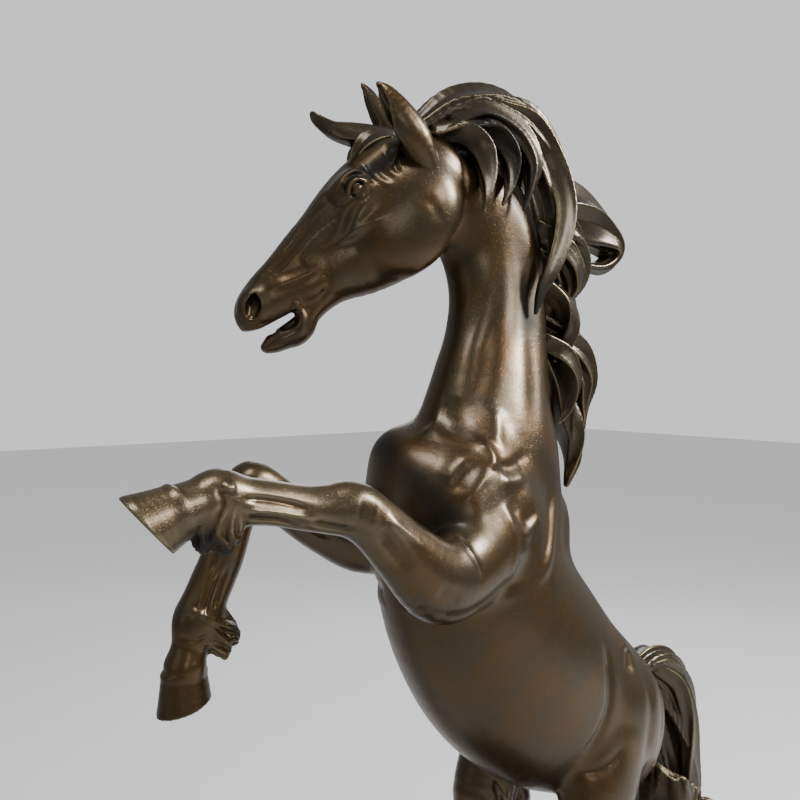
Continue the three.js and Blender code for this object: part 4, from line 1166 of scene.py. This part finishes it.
def surface(name, lat, wide, material):
    """The object for a lattice, with how open and how sharp its surface is as attributes: painted shade, and
    edge wear with painted light.
    """
    points, faces = polygonise(lat)
    normals = normals_of(points, faces)
    clear = outside_painted_shade(points)
    # painted shade: how open the surface is, darker still in the painted shade places
    shade = light_reaching(points, normals, lat, wide) * (0.3 + 0.7 * clear)
    # edge wear, less in the painted shade, plus painted light along the raised near foreleg
    wear_and_painted_light = edge_of(points, lat) * (0.4 + 0.6 * clear) + clear * 0.95 * lit_foreleg(points) ** 0.7
    return to_object(name, points, faces, material, {"shade": shade, "wear_and_painted_light": wear_and_painted_light})


# ======== Materials ========
class Nodes:
    """A material's node tree, with short calls to add to it."""

    def __init__(self, name):
        self.material = bpy.data.materials.new(name)
        self.material.use_nodes = True
        self.tree = self.material.node_tree
        self.shader = self.tree.nodes["Principled BSDF"]

    def add(self, kind, **settings):
        node = self.tree.nodes.new("ShaderNode" + kind)
        for key, value in settings.items():
            setattr(node, key, value)
        return node

    def link(self, output, socket):
        self.tree.links.new(output, socket)

    def noise(self, scale, detail=4.0, roughness=0.55):
        node = self.add("TexNoise")
        node.inputs["Scale"].default_value = scale
        node.inputs["Detail"].default_value = detail
        node.inputs["Roughness"].default_value = roughness
        self.link(self.add("TexCoord").outputs["Object"], node.inputs["Vector"])
        return node.outputs["Fac"]

    def ramp(self, value, low, high):
        """0 where value is low or less, 1 where it is high or more."""
        node = self.add("MapRange", interpolation_type="SMOOTHSTEP")
        node.inputs["From Min"].default_value = low
        node.inputs["From Max"].default_value = high
        self.link(value, node.inputs["Value"])
        return node.outputs["Result"]

    def math(self, operation, a, b):
        node = self.add("Math", operation=operation)
        for socket, value in zip(node.inputs, (a, b)):
            if isinstance(value, (int, float)):
                socket.default_value = value
            else:
                self.link(value, socket)
        return node.outputs["Value"]

    def swing(self, noise, amount):
        """A noise's swing about its middle, amount wide."""
        return self.math("MULTIPLY", self.math("SUBTRACT", noise, 0.5), amount)

    def mix(self, share, a, b):
        node = self.add("Mix", data_type="RGBA")
        self.link(share, node.inputs["Factor"])
        for socket, value in zip((node.inputs["A"], node.inputs["B"]), (a, b)):
            if isinstance(value, tuple):
                socket.default_value = (*value, 1)
            else:
                self.link(value, socket)
        return node.outputs["Result"]

    def attribute(self, name):
        return self.add("Attribute", attribute_name=name).outputs["Fac"]

    def bump(self, height, distance, strength=1.0, below=None):
        node = self.add("Bump")
        node.inputs["Distance"].default_value = distance
        node.inputs["Strength"].default_value = strength
        self.link(height, node.inputs["Height"])
        if below is not None:
            self.link(below, node.inputs["Normal"])
        return node.outputs["Normal"]


PAINTED_SHADE = (0.003, 0.0025, 0.002)  # painted shade: the near-black put where little light reaches
BODY, WARM = (0.062, 0.043, 0.021), (0.078, 0.044, 0.014)
HAIR, HAIR_WARM = (0.040, 0.031, 0.018), (0.050, 0.036, 0.016)


def bronze(name, body, warm, worn_and_lit, wear_from, rough, pits):
    """Patinated bronze: two browns in clouds, painted shade near-black in the creases, rubbed bright on the
    edges and painted light on the near foreleg.
    """
    n = Nodes(name)
    shader = n.shader
    shade, wear_and_painted_light = n.attribute("shade"), n.attribute("wear_and_painted_light")
    clouds = n.noise(38, 3)
    fine = n.noise(420, 5, 0.6)
    colour = n.mix(n.ramp(clouds, 0.38, 0.62), body, warm)
    # the worn colour on sharp edges, which is wear, and on the near foreleg, which is painted light
    edge = n.math("ADD", n.math("ADD", wear_and_painted_light, n.swing(clouds, 0.5)), n.swing(fine, 0.07))
    edge = n.ramp(edge, wear_from, wear_from + 0.6)
    colour = n.mix(edge, colour, worn_and_lit)
    # painted shade: where the shade attribute is low, the colour goes to near-black
    crease = n.ramp(n.math("ADD", shade, n.swing(fine, 0.12)), 0.14, 0.66)
    colour = n.mix(crease, PAINTED_SHADE, colour)
    n.link(colour, shader.inputs["Base Color"])
    dull = n.math("MULTIPLY", n.math("SUBTRACT", 1.0, crease), 0.34)
    grain = n.math("ADD", rough - 0.06, n.math("MULTIPLY", fine, 0.12))
    n.link(n.math("ADD", grain, dull), shader.inputs["Roughness"])
    shader.inputs["Metallic"].default_value = 0.75
    shader.inputs["Specular IOR Level"].default_value = 0.5
    shader.inputs["Coat Weight"].default_value = 0.3
    shader.inputs["Coat Roughness"].default_value = 0.24
    pit = n.ramp(n.noise(900, 2, 0.5), 0.30, 0.44)
    relief = n.bump(pit, 0.0002, pits)
    relief = n.bump(n.noise(150, 5, 0.6), 0.0006, 0.35, relief)
    n.link(relief, shader.inputs["Normal"])
    return n.material


def marble():
    n = Nodes("black_marble")
    warp = n.noise(9, 4)
    coords = n.add("TexCoord").outputs["Object"]
    vein = n.add("TexNoise", noise_type="RIDGED_MULTIFRACTAL")
    vein.inputs["Scale"].default_value = 7
    vein.inputs["Detail"].default_value = 8
    vein.inputs["Distortion"].default_value = 1.6
    n.link(coords, vein.inputs["Vector"])
    line = n.ramp(n.math("MULTIPLY", vein.outputs["Fac"], n.ramp(warp, 0.4, 0.7)), 0.55, 1.1)
    base = n.mix(n.ramp(n.noise(60, 6), 0.35, 0.7), (0.006, 0.006, 0.007), (0.016, 0.016, 0.018))
    n.link(n.mix(line, base, (0.33, 0.32, 0.30)), n.shader.inputs["Base Color"])
    n.link(n.math("ADD", 0.09, n.math("MULTIPLY", n.noise(200, 3), 0.08)), n.shader.inputs["Roughness"])
    n.shader.inputs["Coat Weight"].default_value = 0.6
    n.shader.inputs["Coat Roughness"].default_value = 0.04
    return n.material


def felt():
    n = Nodes("felt")
    fibres = n.noise(1500, 6, 0.7)
    n.link(n.mix(fibres, (0.008, 0.02, 0.012), (0.03, 0.06, 0.04)), n.shader.inputs["Base Color"])
    n.shader.inputs["Roughness"].default_value = 0.95
    n.shader.inputs["Sheen Weight"].default_value = 0.3
    n.link(n.bump(fibres, 0.0004), n.shader.inputs["Normal"])
    return n.material


def steel():
    n = Nodes("zinc_plated_steel")
    spangle = n.noise(300, 3)
    n.link(n.mix(spangle, (0.42, 0.43, 0.44), (0.60, 0.60, 0.60)), n.shader.inputs["Base Color"])
    n.link(n.math("ADD", 0.26, n.math("MULTIPLY", spangle, 0.16)), n.shader.inputs["Roughness"])
    n.shader.inputs["Metallic"].default_value = 1.0
    n.link(n.bump(n.noise(900, 2), 0.00004), n.shader.inputs["Normal"])
    return n.material


BRONZE = bronze("bronze", BODY, WARM, (0.15, 0.115, 0.065), 0.50, 0.30, 0.3)
HAIR_BRONZE = bronze("hair_bronze", HAIR, HAIR_WARM, (0.22, 0.16, 0.072), 0.56, 0.32, 0.25)
DARK_BRONZE = bronze("dark_bronze", HAIR, HAIR_WARM, (0.22, 0.16, 0.085), 0.42, 0.38, 0.6)

# ======== Building ========
NECK_SEAM = ((-64, 0, 436), (0.05, 0, 1), 130)
HEAD_SEAM = (tuple(on_head(12.7, 0, -26)), tuple(0.897 * HEAD_U + 0.442 * HEAD_W), 46)
LIMB_SEAMS = {
    "left_foreleg_casting": ((-161, -51.5, 371), (-0.94, -0.12, 0.3), 34),
    "right_foreleg_casting": ((-164, 46.7, 386), (-0.93, 0.12, 0.35), 32),
    "left_hind_leg_casting": ((-13, -43, 170), (0.1, 0, -1), 33),
    "right_hind_leg_casting": ((-34, 45, 165), (0.1, 0, -1), 33),
}

# a coarse field of everything, for how much light reaches each surface
wide = Lattice((-360, -90, -30), (190, 90, 700), 3.2)
draw_horse(wide, details=False)
for tubes in LOCKS.values():
    for tube in tubes:
        Tube(tube.p, tube.depth, tube.width, tube.across, 1.0).add(wide)
draw_stump(wide, details=False)


def casting(name, node, low, high, step, cuts, seed):
    lat = Lattice(low, high, step)
    draw_horse(lat)
    obj = surface(name, lat, wide, BRONZE)
    saw(obj, cuts, seed)
    smooth_shading(obj, lat)
    finish_piece(obj, node, slot="bronze")
    return obj


casting(
    "torso", "torso_casting", (-182, -84, 150), (100, 84, 458), TORSO_STEP,
    [NECK_SEAM, *LIMB_SEAMS.values()], (-20, -60, 300),
)
casting(
    "neck", "head_and_neck_casting", (-178, -76, 416), (14, 76, 672), NECK_STEP,
    [NECK_SEAM, HEAD_SEAM], (-40, 0, 520),
)
casting(
    "head", "head_and_neck_casting", (-262, -10, 478), (-92, 112, 668), HEAD_STEP,
    [HEAD_SEAM], tuple(on_head(80, 0, 0)),
)
LIMB_BOXES = {
    "left_foreleg": ((-352, -84, 338), (-136, -22, 450)),
    "right_foreleg": ((-294, 22, 278), (-138, 84, 444)),
    "left_hind_leg": ((-50, -76, -2), (42, -14, 190)),
    "right_hind_leg": ((-72, 14, -2), (24, 76, 186)),
}
for limb, (low, high) in LIMB_BOXES.items():
    node = limb + "_casting"
    hoof = LEGS[node]["hoof"]
    casting(limb, node, low, high, LEG_STEP, [LIMB_SEAMS[node]], (hoof["toe"][0], hoof["y"], hoof["toe"][1]))


def box_of(tubes, pad):
    low = np.min([(t.p - np.maximum(t.depth, t.width)[:, None]).min(axis=0) for t in tubes], axis=0)
    high = np.max([(t.p + np.maximum(t.depth, t.width)[:, None]).max(axis=0) for t in tubes], axis=0)
    return low - pad, high + pad


for name, tubes in LOCKS.items():
    lat = Lattice(*box_of(tubes, 4), TAIL_STEP if name == "tail" else HAIR_STEP)
    for tube in tubes:
        tube.add(lat)
    lat.soften(0.45)
    finish_piece(surface(name + "_hair", lat, wide, HAIR_BRONZE), name, slot="hair_bronze")

for name in EARS:
    leaf, scoop, tuft = ear_shapes(name)
    lat = Lattice(*box_of([leaf], 4), HEAD_STEP)
    leaf.add(lat)
    scoop.cut(lat)
    tuft.add(lat)
    lat.soften(0.5)
    finish_piece(surface(name + "_leaf", lat, wide, BRONZE), name, slot="bronze")

lat = Lattice((24, -64, -30), (152, 34, 212), STUMP_STEP)
draw_stump(lat)
x, y, z = lat.coords((slice(None),) * 3)
lat.field = smooth_max(lat.field, (-(z + 2.0) + 0 * lat.field).astype(np.float32), 0.4)
finish_piece(surface("stump", lat, wide, DARK_BRONZE), "stump_casting", slot="dark_bronze")

lat = Lattice((-122, -86, -GROUND_HEIGHT - 3), (138, 86, 3), STUMP_STEP)
draw_ground(lat)
finish_piece(surface("rocky_ground", lat, wide, DARK_BRONZE), "ground_casting", slot="dark_bronze")

CAD_MATERIALS = {"marble_base": marble(), "felt_sheet": felt()}
STEEL = steel()
for name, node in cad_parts.items():
    if name in CAD_MATERIALS or name.startswith(("stud_", "washer_", "nut_")):
        material = CAD_MATERIALS.get(name, STEEL)
        for slot in node.material_slots:
            slot.material = material
        if not node.material_slots:
            node.data.materials.append(material)

# ======== Floor, light and camera ========
FLOOR_HALF = 6.0
bm = bmesh.new()
bmesh.ops.create_grid(bm, x_segments=1, y_segments=1, size=FLOOR_HALF)
floor_mesh = bpy.data.meshes.new("floor")
bm.to_mesh(floor_mesh)
bm.free()
floor = bpy.data.objects.new("floor", floor_mesh)
floor.location.z = -0.0003
bpy.context.collection.objects.link(floor)
paper = Nodes("paper")
paper.shader.inputs["Base Color"].default_value = (0.5, 0.5, 0.5, 1)
paper.shader.inputs["Emission Color"].default_value = (1, 1, 1, 1)
glow = paper.math("MULTIPLY", paper.add("LightPath").outputs["Is Camera Ray"], 0.42)
paper.link(glow, paper.shader.inputs["Emission Strength"])
paper.shader.inputs["Roughness"].default_value = 0.9
floor_mesh.materials.append(paper.material)

world = bpy.data.worlds.new("studio")
bpy.context.scene.world = world
world.use_nodes = True
SEEN, LIGHTING = 0.92, 0.28  # how bright the room looks behind the statue, and how much it lights it
rays = world.node_tree.nodes.new("ShaderNodeLightPath")
level = world.node_tree.nodes.new("ShaderNodeMapRange")
level.inputs["To Min"].default_value = LIGHTING
level.inputs["To Max"].default_value = SEEN
room = world.node_tree.nodes["Background"]
room.inputs["Color"].default_value = (0.97, 0.98, 1.0, 1)
world.node_tree.links.new(rays.outputs["Is Camera Ray"], level.inputs["Value"])
world.node_tree.links.new(level.outputs["Result"], room.inputs["Strength"])


MIDDLE = (-0.1, 0, 0.5)  # what every lamp points at


def area_light(name, at, size, power):
    light = bpy.data.lights.new(name, "AREA")
    light.shape = "RECTANGLE"
    light.size, light.size_y = size
    light.energy = power
    obj = bpy.data.objects.new(name, light)
    obj.location = at
    obj.rotation_euler = (Vector(MIDDLE) - Vector(at)).to_track_quat("-Z", "Y").to_euler()
    bpy.context.collection.objects.link(obj)


area_light("key", (0.95, -0.85, 1.3), (0.45, 0.45), 46)
area_light("side", (0.34, -1.25, 1.15), (0.3, 0.3), 6)
area_light("fill", (-1.6, -0.1, 1.0), (0.8, 1.3), 1.5)
area_light("front", (-0.62, -1.05, 0.72), (0.3, 0.3), 0.8)
area_light("back", (0.9, 1.1, 1.0), (1.0, 1.0), 6)
area_light("top", (-0.45, -0.35, 1.75), (0.4, 0.4), 8)

CAMERA_AT = (-0.4976, -0.4450, 0.5567)
CAMERA_TARGET = (-0.150, 0.0, 0.537)
lens = bpy.data.cameras.new("camera")
lens.lens, lens.sensor_width = 40.84, 36
lens.clip_start = 0.01
camera = bpy.data.objects.new("camera", lens)
camera.location = CAMERA_AT
camera.rotation_euler = (Vector(CAMERA_TARGET) - Vector(CAMERA_AT)).to_track_quat("-Z", "Y").to_euler()
bpy.context.collection.objects.link(camera)
bpy.context.scene.camera = camera
